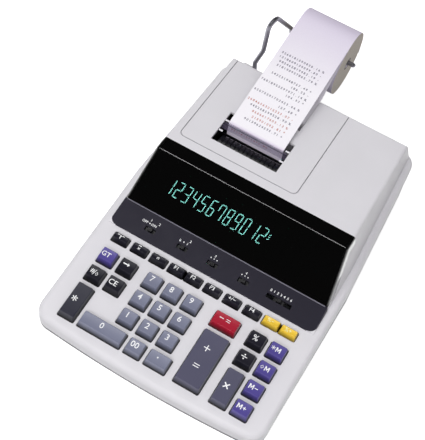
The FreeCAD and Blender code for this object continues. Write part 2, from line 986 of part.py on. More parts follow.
def switch_knob(name, x, long):
    """Slide knob: a grooved thumb piece above the panel and a shoe below it."""
    gap = S["fit_gap"] / 2
    thumb_height = S["knob_height"] + S["wall"] + gap
    thumb = toe_box(
        name + "_thumb", x, S["slot_y"], -S["knob_height"], S["knob_width"], S["knob_depth"], thumb_height,
    )
    shoe_width = S["knob_width"] + S["slot_play"] * 2
    shoe = toe_box(
        name + "_shoe", x, S["slot_y"], S["wall"] + gap, shoe_width, S["slot_depth"] * 1.5, S["wall"] / 2,
    )
    grooves = [
        toe_box(
            name + "_groove_%d" % step, size(x) + S["knob_width"] * step / 4, S["slot_y"],
            -S["knob_height"], S["knob_width"] / 10, S["knob_depth"] * 2, S["knob_height"] / 5,
        )
        for step in (-1, 0, 1)
    ]
    return finish(name, cut(name + "_knob", fuse(name + "_block", thumb, shoe), *grooves))


def upper_case(hump, space):
    top = common(
        "upper_block", side_prism("upper_side", band_corners(seam_z, plane_z), HALF + DEEP),
        case_plan("upper_plan", size(0)),
    )
    slab = rounded("upper_slab", top, on_keyboard_plane, S["skirt_round"])

    def under_plate(y):
        return plane_z(y) - plane_normal_gap(S["wall"])

    def under_seam(y):
        return seam_z(y) - DEEP

    inside = common(
        "upper_inside", side_prism("upper_inside_side", band_corners(under_seam, under_plate), HALF),
        case_plan("upper_inside_plan", S["wall"]),
    )
    hollow = (
        inside, space, lens_zone("upper_lens_cut"), panel_zone("upper_panel_cut"),
        cover_block("upper_cover_cut", S["seam_gap"]),
    )
    shell = cut("upper_shell", fuse("upper_solid", slab, hump), *hollow)
    wells = group("key_wells", *key_wells())
    holed = cut("upper_holed", shell, wells)
    posts = []
    bores = []
    for index, (x, y) in enumerate(screw_places()):
        high = plane_z(y) - S["wall"] / 2 - SCREW_TOP_Z
        posts.append(upright("upper_post_%d" % index, x, y, SCREW_TOP_Z, S["boss_radius"], high))
        bore = S["screw_radius"] + S["running_gap"]
        bores.append(upright("upper_bore_%d" % index, x, y, 0, bore, SCREW_SEAT_Z + S["screw_length"] + 1))
    ear_reach = PIVOT_Y - S["case_depth"] + S["wall"]
    ear_x = -(S["stem_left"] + S["pivot_left"]) / 2 - S["ear_width"] / 2
    ear = box(
        "ear_arm", ear_x, S["case_depth"] - S["wall"], PIVOT_Z - S["ear_radius"],
        S["ear_width"], ear_reach, S["ear_radius"] * 2,
    )
    nose = crosswise("ear_nose", ear_x, PIVOT_Y, PIVOT_Z, S["ear_radius"], S["ear_width"])
    bore = crosswise(
        "ear_bore", ear_x - 1, PIVOT_Y, PIVOT_Z,
        S["rod_radius"] + S["running_gap"], S["ear_width"] + 2,
    )
    body = fuse("upper_body", holed, ear, nose, *posts, *cover_ledges())
    return finish("upper_case", cut("upper", body, bore, *bores))


def screw_places():
    front = S["screw_front_x"]
    rear = S["screw_rear_x"]
    return [
        (-front, S["screw_front_y"]), (front, S["screw_front_y"]),
        (-rear, S["screw_rear_y"]), (rear, S["screw_rear_y"]),
    ]


SCREW_TOP_Z = SCREW_SEAT_Z + S["floor_wall"]


def foot_places():
    x = S["foot_x"]
    return [
        (-x, S["foot_front_y"]), (x, S["foot_front_y"]),
        (-x, S["foot_rear_y"]), (x, S["foot_rear_y"]),
    ]


FOOT_SINK = S["floor_wall"] * 0.4


def board_under(y):
    """Height of the underside of the key board."""
    return plane_z(y) - plane_normal_gap(BOARD_DROP + S["board_wall"])


def lower_case():
    base = S["foot_height"]
    outer = common(
        "lower_block", side_prism("lower_side", band_corners(flat_at(base), seam_z), HALF),
        case_plan("lower_plan", S["lower_inset"]),
    )
    inner = common(
        "lower_space",
        side_prism("lower_space_side", band_corners(flat_at(FLOOR_Z), flat_at(TALL / 2)), HALF),
        case_plan("lower_space_plan", S["lower_inset"] + S["wall"]),
    )

    def line_low(y):
        return seam_z(y) - S["seam_line_height"]

    line = cut(
        "seam_line",
        side_prism("seam_line_side", band_corners(line_low, seam_z), HALF + DEEP),
        case_plan("seam_line_plan", S["lower_inset"] + S["seam_line_depth"]),
    )
    tray = cut("lower_tray", outer, inner, line)
    posts = []
    radius = S["boss_radius"]

    def post(name, index, x, y, girth, top):
        posts.append(upright("%s_%d" % (name, index), x, y, base, girth, top - base))

    for index, (x, y) in enumerate(screw_places()):
        post("lower_boss", index, x, y, radius * 1.3, SCREW_TOP_Z)
    front = S["board_front_y"] + radius * 2
    rear = S["board_rear_y"] - radius
    side = S["board_half_width"] * 0.6
    for index, (x, y) in enumerate([(-side, front), (side, front), (-side, rear), (side, rear)]):
        post("key_board_post", index, x, y, radius / 2, board_under(y - radius / 2))
    for index, (x, y) in enumerate(main_board_corners()):
        post("main_board_post", index, x, y, radius / 2, BOARD_Z)
    for index, (x, y) in enumerate(frame_feet()):
        post("frame_post", index, x, y, radius, S["frame_floor_z"])
    for index, x in enumerate(display_post_places()):
        foot_y, foot_z = lens_place(DISPLAY_LOW, DISPLAY_BACK + S["board_wall"])
        posts.append(centred_box(
            "display_post_%d" % index, x, foot_y - S["wall"] / 4, base, radius * 2, S["wall"] * 2,
            foot_z - base - S["running_gap"],
        ))
    inlet_x = S["inlet_x"]
    inlet_z = S["inlet_z"]
    inlet = S["inlet_radius"]
    back = S["case_depth"]
    collar = lengthwise("inlet_collar", inlet_x, back - S["wall"] * 2, inlet_z, inlet * 1.6, S["wall"] * 2)
    body = fuse("lower_body", tray, collar, *posts)
    holes = [lengthwise("inlet_bore", inlet_x, back - DEEP / 2, inlet_z, inlet, DEEP)]
    head = S["screw_head_radius"] + S["fit_gap"]
    hole = S["screw_radius"] + S["running_gap"]
    for index, (x, y) in enumerate(screw_places()):
        holes.append(upright("screw_recess_%d" % index, x, y, 0, head, SCREW_SEAT_Z))
        holes.append(upright("screw_hole_%d" % index, x, y, 0, hole, DEEP))
    pocket = S["foot_radius"] + S["fit_gap"]
    for index, (x, y) in enumerate(foot_places()):
        holes.append(upright("foot_recess_%d" % index, x, y, 0, pocket, base + FOOT_SINK))
    return finish("lower_case", cut("lower", body, *holes))


def lengthwise(name, x, y, z, radius, length):
    """A cylinder that lies along Y, from its front end."""
    item = add("Part::Cylinder", name)
    bind(item, "Radius", radius)
    bind(item, "Height", length)
    item.Placement = FreeCAD.Placement(ORIGIN, FreeCAD.Rotation(FreeCAD.Vector(1, 0, 0), -90))
    bind(item, "Placement.Base.x", x)
    bind(item, "Placement.Base.y", y)
    bind(item, "Placement.Base.z", z)
    return item


def main_board_corners():
    left = -S["tube_left"] - S["tube_width"] * 0.4
    right = -S["tube_left"] + S["tube_width"] * 0.4
    front = S["panel_front_y"] + S["boss_radius"] * 2
    rear = FRAME_FRONT - S["boss_radius"] * 3
    return [(left, front), (right, front), (left, rear), (right, rear)]


def frame_feet():
    inset = S["boss_radius"]
    left = PRINTER_X - FRAME_HALF + inset
    right = PRINTER_X + FRAME_HALF - inset
    front = FRAME_FRONT + inset
    rear = FRAME_REAR - inset
    return [(left, front), (right, front), (left, rear), (right, rear)]


# Display, boards and contact sheet

TUBE_IN = S["wall"] + S["tube_behind"]
DISPLAY_BACK = TUBE_IN + S["tube_depth"]
DISPLAY_LOW = (LENS_LENGTH - S["tube_height"]) / 2 - S["wall"] * 2


def lens_place(along, inward):
    """Y and Z of a point up the lens from its foot and inward from its face."""
    y = S["lens_bottom_y"] + along * cosine(LENS_ANGLE) + inward * sine(LENS_ANGLE)
    z = S["lens_bottom_z"] + along * sine(LENS_ANGLE) - inward * cosine(LENS_ANGLE)
    return y, z


def lens_box(name, width, along, height, inward, depth):
    """A box parallel to the lens, from its lower edge and its front face."""
    y, z = lens_place(along, inward + depth)
    return box(name, -S["tube_left"] - width / 2, y, z, width, height, depth, LENS_ANGLE)


def display_post_places():
    reach = S["tube_width"] / 2 + S["boss_radius"] / 2
    return [-S["tube_left"] - reach, -S["tube_left"] + reach]


def display_tube():
    along = (LENS_LENGTH - S["tube_height"]) / 2
    block = lens_box("tube_block", S["tube_width"], along, S["tube_height"], TUBE_IN, S["tube_depth"])
    DOCUMENT.recompute()
    return finish("display_tube", rounded("tube", block, lambda edge: True, S["wall"] / 2))


def circuit_board():
    angle = S["keyboard_slope"]
    wall = S["board_wall"]
    front = S["board_front_y"]
    depth = (S["board_rear_y"] - front) / cosine(angle)
    width = S["board_half_width"] * 2
    keys = box("key_board", -width / 2, front, board_under(front), width, depth, wall, angle)
    display_width = S["tube_width"] + S["boss_radius"] * 4
    display = lens_box(
        "display_board", display_width, DISPLAY_LOW, S["tube_height"] + S["wall"] * 4,
        DISPLAY_BACK, wall,
    )
    corners = main_board_corners()
    edge = S["boss_radius"]
    left, low = corners[0]
    right, high = corners[3]
    long = right - left + edge * 2
    main = box("main_board", left - edge, low - edge, BOARD_Z, long, high - low + edge * 2, wall)
    parts = [keys, display, main]
    top = BOARD_Z + wall
    middle_y = (low + high) / 2
    chip = S["knob_width"] * 4
    parts.append(centred_box("logic_chip", -S["tube_left"], middle_y, top, chip, chip, wall))
    for index in range(3):
        x = left + (edge * 5) * size(index) + edge * 2
        parts.append(upright("capacitor_%d" % index, x, high - edge * 2, top, edge, edge * 3))
    plug = edge * 1.5
    parts.append(centred_box("board_plug", right - edge * 3, low + edge * 2, top, edge * 5, plug, plug))
    return finish("circuit_board", fuse("board", *parts))


def contact_sheet():
    angle = S["keyboard_slope"]
    front = S["board_front_y"]
    depth = (S["board_rear_y"] - front) / cosine(angle)
    width = S["board_half_width"] * 2
    z = plane_z(front) - plane_normal_gap(BOARD_DROP)
    parts = [box("sheet_plate", -width / 2, front, z, width, depth, S["sheet_wall"], angle)]
    for name, x, y, width, depth, height in KEYS:
        dome = add("Part::Cone", name + "_dome")
        bind(dome, "Radius1", S["dome_radius"])
        bind(dome, "Radius2", S["dome_radius"] / 2)
        bind(dome, "Height", S["dome_height"] + S["sheet_wall"] / 2)
        drop = SHEET_DROP + S["sheet_wall"] / 2
        place(dome, x, y + drop * sine(angle), plane_z(y) - drop * cosine(angle), (1, 0, 0), angle)
        parts.append(dome)
    return finish("contact_sheet", fuse("sheet", *parts))


# Printer

PLATE_LEFT = PRINTER_X - FRAME_HALF - S["frame_wall"]
PLATE_RIGHT = PRINTER_X + FRAME_HALF
FRAME_WIDTH = (FRAME_HALF + S["frame_wall"]) * 2
GEAR_SPAN = S["gear_module"] * (S["drum_teeth"] + S["feed_teeth"]) / 2
FEED_Y = S["drum_y"] + GEAR_SPAN * cosine(S["gear_drop_angle"])
FEED_Z = S["drum_z"] - GEAR_SPAN * sine(S["gear_drop_angle"])


def printer_frame():
    """Two side plates with a base, a platen, a shelf for the ribbon, and a motor."""
    wall = S["frame_wall"]
    front = FRAME_FRONT
    depth = FRAME_REAR - front
    low = S["frame_floor_z"]
    high = S["frame_top_z"]
    parts = [
        box("frame_left", PLATE_LEFT, front, low, wall, depth, high - low),
        box("frame_right", PLATE_RIGHT, front, low, wall, depth, high - low),
        box("frame_base", PLATE_LEFT, front, low, FRAME_WIDTH, depth, wall),
        box(
            "platen", PLATE_LEFT, PAPER_Y + S["platen_gap"], PLATEN_LOW,
            FRAME_WIDTH, wall, high - PLATEN_LOW,
        ),
        box(
            "ribbon_shelf", PLATE_LEFT, front, S["drum_z"], FRAME_WIDTH,
            S["cassette_depth"] + S["fit_gap"], wall,
        ),
    ]
    bores = []
    for name, y, z, radius in (
        ("drum", S["drum_y"], S["drum_z"], S["drum_shaft_radius"]),
        ("feed", FEED_Y, FEED_Z, S["feed_shaft_radius"]),
    ):
        bore = radius + S["running_gap"]
        bores.append(crosswise(name + "_bore", PLATE_LEFT - 1, y, z, bore, FRAME_WIDTH + 2))
    frame = cut("frame", fuse("frame_solid", *parts), *bores)
    motor = crosswise(
        "motor", PLATE_RIGHT - S["motor_length"], S["drum_y"] - S["motor_ahead"], S["motor_z"],
        S["motor_radius"], S["motor_length"],
    )
    return finish("printer_frame", group("frame_and_motor", frame, motor))


def whole(item):
    """The nearest whole number."""
    return Size("floor(%s + 0.5)" % item.text, math.floor(item.value + 0.5))


def involute(base, radius):
    """Involute function, in degrees, of the pressure angle at a radius."""
    text = "(acos(%s / %s) / 1 deg)" % (base.text, radius.text)
    angle = Size(text, math.degrees(math.acos(base.value / radius.value)))
    return tangent(angle) * (180 / math.pi) - angle


def gear(name, x, y, z, count, turn):
    """A spur gear across X with a tooth that points at an angle up from +Y."""
    count = whole(count)
    module = S["gear_module"]
    pitch = module * count / 2
    base = pitch * cosine(S["pressure_angle"])
    tip = pitch + module
    root = pitch - module * 1.25
    start = base if base.value > root.value else root
    thin = S["backlash"] / 2 / pitch * (90 / math.pi)
    half = size(90) / count - thin + involute(base, pitch)
    flank = [(root - module / 2, half - involute(base, start))]
    for step in range(5):
        radius = start * 1.0001 + (tip - start) * step / 4
        flank.append((radius, half - involute(base, radius)))
    corners = [(r * cosine(turn - a), r * sine(turn - a)) for r, a in flank]
    corners += [(r * cosine(turn + a), r * sine(turn + a)) for r, a in reversed(flank)]
    body = add("PartDesign::Body", name)
    hub_plan = flat_sketch(body, name + "_hub_plan", [], 0)
    hub_plan.addGeometry(Part.Circle(ORIGIN, FreeCAD.Vector(0, 0, 1), root.value), False)
    hub_plan.addConstraint(Sketcher.Constraint("Coincident", 0, 3, -1, 1))
    hub_plan.addConstraint(Sketcher.Constraint("Radius", 0, root.value))
    hub_plan.setExpression("Constraints[1]", root.text)
    hub = body.newObject("PartDesign::Pad", name + "_hub")
    hub.Profile = hub_plan
    bind(hub, "Length", S["gear_width"])
    tooth = body.newObject("PartDesign::Pad", name + "_tooth")
    tooth.Profile = flat_sketch(body, name + "_tooth_plan", corners, 0)
    bind(tooth, "Length", S["gear_width"])
    ring = body.newObject("PartDesign::PolarPattern", name + "_teeth")
    ring.Originals = [tooth]
    ring.Axis = (origin_feature(body, "Z_Axis"), [""])
    ring.Angle = 360
    bind(ring, "Occurrences", count)
    body.Tip = ring
    body.Placement = FreeCAD.Placement(ORIGIN, TO_YZ)
    bind(body, "Placement.Base.x", x)
    bind(body, "Placement.Base.y", y)
    bind(body, "Placement.Base.z", z)
    return body


def spindle(name, y, z, shaft, radius):
    """A shaft through both side plates, with a shoulder against each."""
    shoulder = FRAME_WIDTH - (S["frame_wall"] + S["fit_gap"]) * 2
    long = FRAME_WIDTH + S["fit_gap"] * 2 + S["gear_width"] * 2
    left = PLATE_LEFT - S["fit_gap"] - S["gear_width"]
    inner = PRINTER_X - shoulder / 2
    half = S["drum_half_length"]
    return [
        crosswise(name + "_shaft", left, y, z, shaft, long),
        crosswise(name + "_shoulder", inner, y, z, shaft + 1, shoulder),
        crosswise(name + "_collar", left, y, z, shaft + 1, S["gear_width"]),
        crosswise(name + "_body", PRINTER_X - half, y, z, radius, half * 2),
    ]


def print_drum():
    """Drum of type wheels on a shaft, with its gear outside the right plate."""
    y = S["drum_y"]
    z = S["drum_z"]
    parts = spindle("drum", y, z, S["drum_shaft_radius"], S["drum_radius"] - S["drum_groove"])
    count = 14
    pitch = S["drum_half_length"] * 2 / count
    for index in range(count):
        left = PRINTER_X - S["drum_half_length"] + pitch * (size(index) + 0.15)
        parts.append(crosswise("type_wheel_%d" % index, left, y, z, S["drum_radius"], pitch * 0.7))
    x = PLATE_RIGHT + S["frame_wall"] + S["fit_gap"]
    parts.append(gear("drum_gear", x, y, z, S["drum_teeth"], -S["gear_drop_angle"]))
    return finish("print_drum", fuse("drum", *parts))


def feed_roller():
    """Roller that pulls the paper, driven by the drum's gear."""
    parts = spindle("feed", FEED_Y, FEED_Z, S["feed_shaft_radius"], S["feed_radius"])
    x = PLATE_RIGHT + S["frame_wall"] + S["fit_gap"]
    turn = 180 - S["gear_drop_angle"] + size(180) / whole(S["feed_teeth"])
    parts.append(gear("feed_gear", x, FEED_Y, FEED_Z, S["feed_teeth"], turn))
    return finish("feed_roller", fuse("feed", *parts))


def ribbon_cassette():
    """Slim ribbon box in front of the drum, with the ribbon led past the paper."""
    wall = S["cassette_wall"]
    half = FRAME_HALF - S["fit_gap"]
    front = FRAME_FRONT
    shelf = S["drum_z"] + S["frame_wall"]
    low = S["drum_z"] + S["drum_shaft_radius"] + 1
    rear = PAPER_Y - S["paper_thickness"] - S["ribbon_gap"]
    depth = S["cassette_depth"]
    height = S["cassette_height"]
    parts = [box("cassette_box", PRINTER_X - half, front, shelf, half * 2, depth, height)]
    for name, x in (("left", PRINTER_X - half), ("right", PRINTER_X + half - wall)):
        parts.append(box("cassette_arm_" + name, x, front, low, wall, rear - front, S["ribbon_width"]))
    thin = wall / 3
    parts.append(box("ribbon", PRINTER_X - half, rear - thin, low, half * 2, thin, S["ribbon_width"]))
    return finish("ribbon_cassette", fuse("cassette", *parts))


def tear_bar():
    """Clear bar with a saw edge, resting on the side plates of the printer."""
    low = S["frame_top_z"]
    high = top_z(TEAR_Y) - S["wall"] - S["tear_bar_clear"]
    top = top_z(TEAR_Y) + S["tear_bar_rise"]
    end = FRAME_WIDTH / 2
    inner = WINDOW_WIDTH / 2 - S["frame_wall"]
    count = 33
    corners = [(-end, low), (end, low), (end, high), (inner, high)]
    step = inner * 2 / count
    for index in range(count):
        corners.append((inner - step * size(index), top - S["tear_tooth"]))
        corners.append((inner - step * (size(index) + 0.5), top))
    corners += [(-inner, top - S["tear_tooth"]), (-inner, high), (-end, high)]
    bar = add("Part::Extrusion", "tear_bar_plate")
    upright_plane = FreeCAD.Rotation(FreeCAD.Vector(1, 0, 0), 90)
    bar.Base = outline("tear_bar_outline", corners, upright_plane)
    bind(bar.Base, "Placement.Base.x", PRINTER_X)
    bind(bar.Base, "Placement.Base.y", TEAR_Y)
    bar.DirMode = "Normal"
    bar.Solid = True
    bar.Symmetric = True
    bind(bar, "LengthFwd", S["tear_bar_wall"])
    return finish("tear_bar", bar)


# Paper and its holder

def paper_roll():
    left = PRINTER_X - paper_half()
    roll = crosswise("roll_disc", left, ROLL_Y, ROLL_Z, S["roll_radius"], S["paper_width"])
    bore = crosswise(
        "roll_hole", left - 1, ROLL_Y, ROLL_Z, S["roll_bore"], S["paper_width"] + 2,
    )
    return finish("paper_roll", cut("roll", roll, bore))


def tangent_point(y, z, radius):
    """Where a line from a point touches a circle about the roll's middle."""
    run = ROLL_Y - y
    rise = ROLL_Z - z
    far = root_of(run * run + rise * rise)
    ratio = size(radius) / far
    text = "(asin(%s) / 1 deg)" % ratio.text
    lift = Size(text, math.degrees(math.asin(ratio.value)))
    slope = angle_of(rise, run) + lift
    return ROLL_Y - size(radius) * sine(slope), ROLL_Z + size(radius) * cosine(slope)


def paper_tape():
    """The paper from the roll through the printer and back over the roll."""
    thick = S["paper_thickness"]
    inner = S["roll_radius"] + TAPE_GAP
    lift = size(1)
    rear_y = S["top_rear_y"] - S["wall"] * 1.5
    slot_y = S["channel_front_y"] + S["wall"] * 1.5

    def floor(y):
        return top_z(y) - S["channel_depth"] + lift

    under = FEED_Z - S["feed_radius"] - TAPE_GAP * 2
    start = tangent_point(rear_y, floor(rear_y), inner + thick)
    corners = [
        start,
        (rear_y, floor(rear_y)),
        (slot_y, floor(slot_y)),
        (slot_y - S["wall"] / 2, PLATEN_LOW + S["feed_radius"]),
        (FEED_Y + S["feed_radius"] * 2, under),
        (FEED_Y - S["feed_radius"] * 1.4, under),
        (PAPER_Y, PLATEN_LOW + S["wall"]),
        (PAPER_Y, top_z(PAPER_Y) + S["wall"]),
    ]
    last = corners[-1]
    top = tangent_point(last[0], last[1], inner)
    sketch = add("Sketcher::SketchObject", "tape_path")
    points = [FreeCAD.Vector(y.value, z.value, 0) for y, z in corners + [top]]
    lines = len(corners)
    for index in range(lines):
        sketch.addGeometry(Part.LineSegment(points[index], points[index + 1]), False)
    centre = FreeCAD.Vector(ROLL_Y.value, ROLL_Z.value, 0)
    begin = math.atan2(points[-1].y - centre.y, points[-1].x - centre.x)
    circle = Part.Circle(centre, FreeCAD.Vector(0, 0, 1), inner.value)
    sketch.addGeometry(Part.ArcOfCircle(circle, 0, begin), False)
    rear = FreeCAD.Vector(centre.x + inner.value, centre.y, 0)
    end = FreeCAD.Vector(rear.x, rear.y - S["tape_tail"].value, 0)
    sketch.addGeometry(Part.LineSegment(rear, end), False)
    for index in range(lines - 1):
        sketch.addConstraint(Sketcher.Constraint("Coincident", index, 2, index + 1, 1))
    sketch.addConstraint(Sketcher.Constraint("Coincident", lines - 1, 2, lines, 2))
    sketch.addConstraint(Sketcher.Constraint("Coincident", lines, 1, lines + 1, 1))

    def fix(kind, geometry, point, value):
        number = sketch.addConstraint(Sketcher.Constraint(kind, -1, 1, geometry, point, value.value))
        sketch.setExpression("Constraints[%d]" % number, value.text)

    for index, (y, z) in enumerate(corners):
        fix("DistanceX", index, 1, y)
        fix("DistanceY", index, 1, z)
    fix("DistanceX", lines, 3, ROLL_Y)
    fix("DistanceY", lines, 3, ROLL_Z)
    number = sketch.addConstraint(Sketcher.Constraint("Radius", lines, inner.value))
    sketch.setExpression("Constraints[%d]" % number, inner.text)
    fix("DistanceX", lines, 2, top[0])
    fix("DistanceY", lines, 1, ROLL_Z)
    sketch.addConstraint(Sketcher.Constraint("Vertical", lines + 1))
    fix("DistanceY", lines + 1, 2, ROLL_Z - S["tape_tail"])
    sketch.Placement = FreeCAD.Placement(ORIGIN, TO_YZ)
    face = add("Part::Offset2D", "tape_side")
    face.Source = sketch
    face.Mode = "Skin"
    face.Join = "Intersection"
    face.Fill = True
    bind(face, "Value", -thick)
    tape = add("Part::Extrusion", "tape")
    tape.Base = face
    tape.DirMode = "Custom"
    tape.Dir = FreeCAD.Vector(1, 0, 0)
    tape.Solid = True
    tape.Symmetric = True
    bind(tape, "LengthFwd", S["paper_width"])
    moved = group("tape_moved", tape)
    bind(moved, "Placement.Base.x", PRINTER_X)
    return finish_at("paper_tape", moved)


def finish_at(label, item):
    """Finish a piece that already carries its own shift across."""
    item.Label = label
    bind(item, "Placement.Base.y", -ORIGIN_Y)
    FINISHED[label] = item
    return item


AXLE_Z = ROLL_Z + S["roll_bore"] - S["rod_radius"] - S["running_gap"]
AXLE_LEFT = PRINTER_X - paper_half() - S["rod_radius"] - S["arm_gap"]


def bent_rod(name, corners, bends, radius):
    """A round rod with straight runs and round bends through given corners."""
    points = [FreeCAD.Vector(*[size(value).value for value in corner]) for corner in corners]
    edges = []
    last = points[0]
    for corner, after, bend in zip(points[1:-1], points[2:], bends):
        before = (corner - last).normalize()
        ahead = (after - corner).normalize()
        half = before.getAngle(ahead) / 2
        inward = (ahead - before).normalize()
        middle = corner + inward * bend * (1 / math.cos(half) - 1)
        first = corner - before * bend * math.tan(half)
        second = corner + ahead * bend * math.tan(half)
        edges.append(Part.LineSegment(last, first).toShape())
        edges.append(Part.Arc(first, middle, second).toShape())
        last = second
    edges.append(Part.LineSegment(last, points[-1]).toShape())
    ring = Part.Wire(Part.makeCircle(radius.value, points[0], points[1] - points[0]))
    rod = add("Part::Feature", name)
    rod.Shape = Part.Wire(edges).makePipeShell([ring], True, False)
    return rod


def roll_holder():
    """Bent wire that turns in the ear of the case and carries the paper roll."""
    left = -S["pivot_left"]
    stem = -S["stem_left"]
    reach = AXLE_LEFT - stem
    right = PRINTER_X + paper_half() + S["rod_end"]
    lift = S["arch_over_pivot"]
    corners = [
        (left, PIVOT_Y, PIVOT_Z),
        (stem, PIVOT_Y, PIVOT_Z),
        (stem - reach * 0.1, PIVOT_Y, PIVOT_Z + lift * 0.17),
        (stem + reach * 0.3, PIVOT_Y, PIVOT_Z + lift * 0.41),
        (stem + reach * 0.33, PIVOT_Y, PIVOT_Z + lift),
        (AXLE_LEFT - reach * 0.07, ROLL_Y - 4, AXLE_Z + lift * 0.14),
        (AXLE_LEFT, ROLL_Y, AXLE_Z),
        (right, ROLL_Y, AXLE_Z),
    ]
    bends = [3.5, 10, 12, 8, 8, 4]
    rod = bent_rod("holder_rod", corners, bends, S["rod_radius"])
    cap = S["rod_radius"] * 1.5
    head = crosswise("holder_head", left - cap / 3, PIVOT_Y, PIVOT_Z, cap, cap / 3)
    tip = add("Part::Sphere", "holder_tip")
    bind(tip, "Radius", S["rod_radius"])
    place(tip, right, ROLL_Y, AXLE_Z)
    return finish("roll_holder", fuse("holder", rod, head, tip))


def power_transformer():
    """Laminated core with a winding on its middle leg, standing on two rails."""
    x = S["transformer_x"]
    y = S["transformer_y"]
    width = S["transformer_width"]
    depth = S["transformer_depth"]
    height = S["transformer_height"]
    core_z = FLOOR_Z + S["wall"]
    core = centred_box("core", x, y, core_z, width, depth * 0.5, height)
    winding = centred_box("winding", x, y, core_z + height * 0.17, width * 0.64, depth, height * 0.66)
    foot = centred_box("mount_strap", x, y, FLOOR_Z, width, depth, S["wall"])
    DOCUMENT.recompute()
    soft = rounded("winding_soft", winding, lambda edge: True, S["wall"])
    return finish("power_transformer", fuse("transformer", core, soft, foot))


def rubber_feet():
    feet = [
        upright("foot_%d" % index, x, y, 0, S["foot_radius"], S["foot_height"] + FOOT_SINK)
        for index, (x, y) in enumerate(foot_places())
    ]
    return finish("rubber_feet", group("feet", *feet))


def case_screws():
    screws = []
    for index, (x, y) in enumerate(screw_places()):
        low = SCREW_SEAT_Z - S["screw_head_height"]
        head = upright("screw_head_%d" % index, x, y, low, S["screw_head_radius"], S["screw_head_height"])
        long = S["screw_head_height"] + S["screw_length"]
        shank = upright("screw_shank_%d" % index, x, y, low, S["screw_radius"], long)
        slot = centred_box("screw_slot_%d" % index, x, y, low - 1, S["screw_head_radius"] * 1.4, 0.8, 1.8)
        screws.append(cut("screw_%d" % index, fuse("screw_blank_%d" % index, head, shank), slot))
    return finish("case_screws", group("screws", *screws))


# Build every piece

def build():
    hump = hump_outer()
    hollow = hump_side(S["wall"], size(4), size(DEEP))
    space = common(
        "hump_space", side_prism("hump_space_side", hollow, HALF),
        drafted("hump_space_walls", S["wall"], S["wall"] * 2),
    )
    make_keys()
    upper_case(hump, space)
    finish("display_lens", cut("lens", common("lens_block", hump, lens_zone("lens_side")), space))
    switch_panel(hump, space)
    for values in switch_slots():
        switch_knob(*values)
    printer_cover(hump, space)
    lower_case()
    display_tube()
    circuit_board()
    contact_sheet()
    power_transformer()
    printer_frame()
    print_drum()
    feed_roller()
    ribbon_cassette()
    tear_bar()
    paper_roll()
    paper_tape()
    roll_holder()
    rubber_feet()
    case_screws()
    DOCUMENT.recompute()


def check():
    """Stop if an object failed or a finished piece has no valid shape."""
    for item in DOCUMENT.Objects:
        if "Invalid" in item.State or "Error" in item.State:
            raise RuntimeError("object %s is in state %s" % (item.Name, item.State))
    for label, item in FINISHED.items():
        if item.Shape.isNull() or not item.Shape.isValid() or not item.Shape.Solids:
            raise RuntimeError("piece %s has no valid solid" % label)


def write():
    os.makedirs("parts", exist_ok=True)
    for label, item in FINISHED.items():
        item.Shape.exportStep("parts/%s.step" % label)


build()
check()
write()
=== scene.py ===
import bpy
import bmesh
import json
import math
import random
from mathutils import Matrix, Vector

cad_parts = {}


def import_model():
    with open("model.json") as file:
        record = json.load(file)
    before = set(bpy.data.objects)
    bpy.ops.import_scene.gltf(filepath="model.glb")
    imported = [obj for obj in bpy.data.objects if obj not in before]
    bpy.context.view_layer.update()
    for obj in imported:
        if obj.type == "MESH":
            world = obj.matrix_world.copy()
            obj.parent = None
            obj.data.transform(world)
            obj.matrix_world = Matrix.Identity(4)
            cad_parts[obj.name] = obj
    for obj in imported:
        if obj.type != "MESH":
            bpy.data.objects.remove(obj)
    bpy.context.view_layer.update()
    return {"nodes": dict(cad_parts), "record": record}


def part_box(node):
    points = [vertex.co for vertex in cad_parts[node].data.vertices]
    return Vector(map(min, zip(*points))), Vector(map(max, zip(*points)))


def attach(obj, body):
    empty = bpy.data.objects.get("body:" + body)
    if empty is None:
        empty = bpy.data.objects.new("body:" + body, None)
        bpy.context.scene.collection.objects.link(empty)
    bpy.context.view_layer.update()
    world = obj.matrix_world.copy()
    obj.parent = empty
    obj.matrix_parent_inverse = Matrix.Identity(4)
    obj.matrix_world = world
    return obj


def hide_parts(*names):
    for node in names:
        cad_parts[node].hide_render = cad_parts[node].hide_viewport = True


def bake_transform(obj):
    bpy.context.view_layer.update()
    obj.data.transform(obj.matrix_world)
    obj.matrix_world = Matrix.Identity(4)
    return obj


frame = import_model()
nodes = frame["nodes"]

# Sizes of the object in millimetres, measured from the front edge of the case and the table
ORIGIN_Y = 204.475
FRONT_HEIGHT = 18.4
SLOPE = math.radians(5.9)
COLUMN_PITCH = 20.0
FIRST_ROW_Y = 21.4
FUNCTION_ROW_Y = 103.0
KEY_DEPTH = 15.4
KEY_HEIGHT = 6.0
FUNCTION_DEPTH = 9.4
FUNCTION_HEIGHT = 4.6
KEY_DISH = 0.5
KEY_TOP_FRONT = 2.9
KEY_TOP_BACK = 1.2
PRINTER_X = -28.0
PAPER_WIDTH = 57.0
ROLL_Y = 376.0
ROLL_Z = 68.9
ROLL_RADIUS = 32.7
LENS_BOTTOM = (139.7, 38.5)
RIDGE_FRONT = (176.0, 80.0)
PANEL_FRONT_Y = 113.4
WALL = 2.5
TUBE_IN = 5.5

MM = 0.001


def to_world(x, y, z):
    """Case millimetres to the part's metres."""
    return Vector((x * MM, (y - ORIGIN_Y) * MM, z * MM))


def plane_z(y):
    return FRONT_HEIGHT + y * math.tan(SLOPE)


# Camera at the viewpoint of the photo: angles, focal length in pixels, places in millimetres

CAMERA_AZIMUTH = math.radians(20.23)
CAMERA_ELEVATION = math.radians(55.83)
CAMERA_ROLL = math.radians(11.56)
CAMERA_FOCAL_PIXELS = 1151.0
CAMERA_DISTANCE = 1037.0
CAMERA_OFFSET = (20.6, -15.4)
CAMERA_TARGET = (0.0, 160.0, 35.0)
IMAGE_HEIGHT = 440.0
SENSOR = 36.0


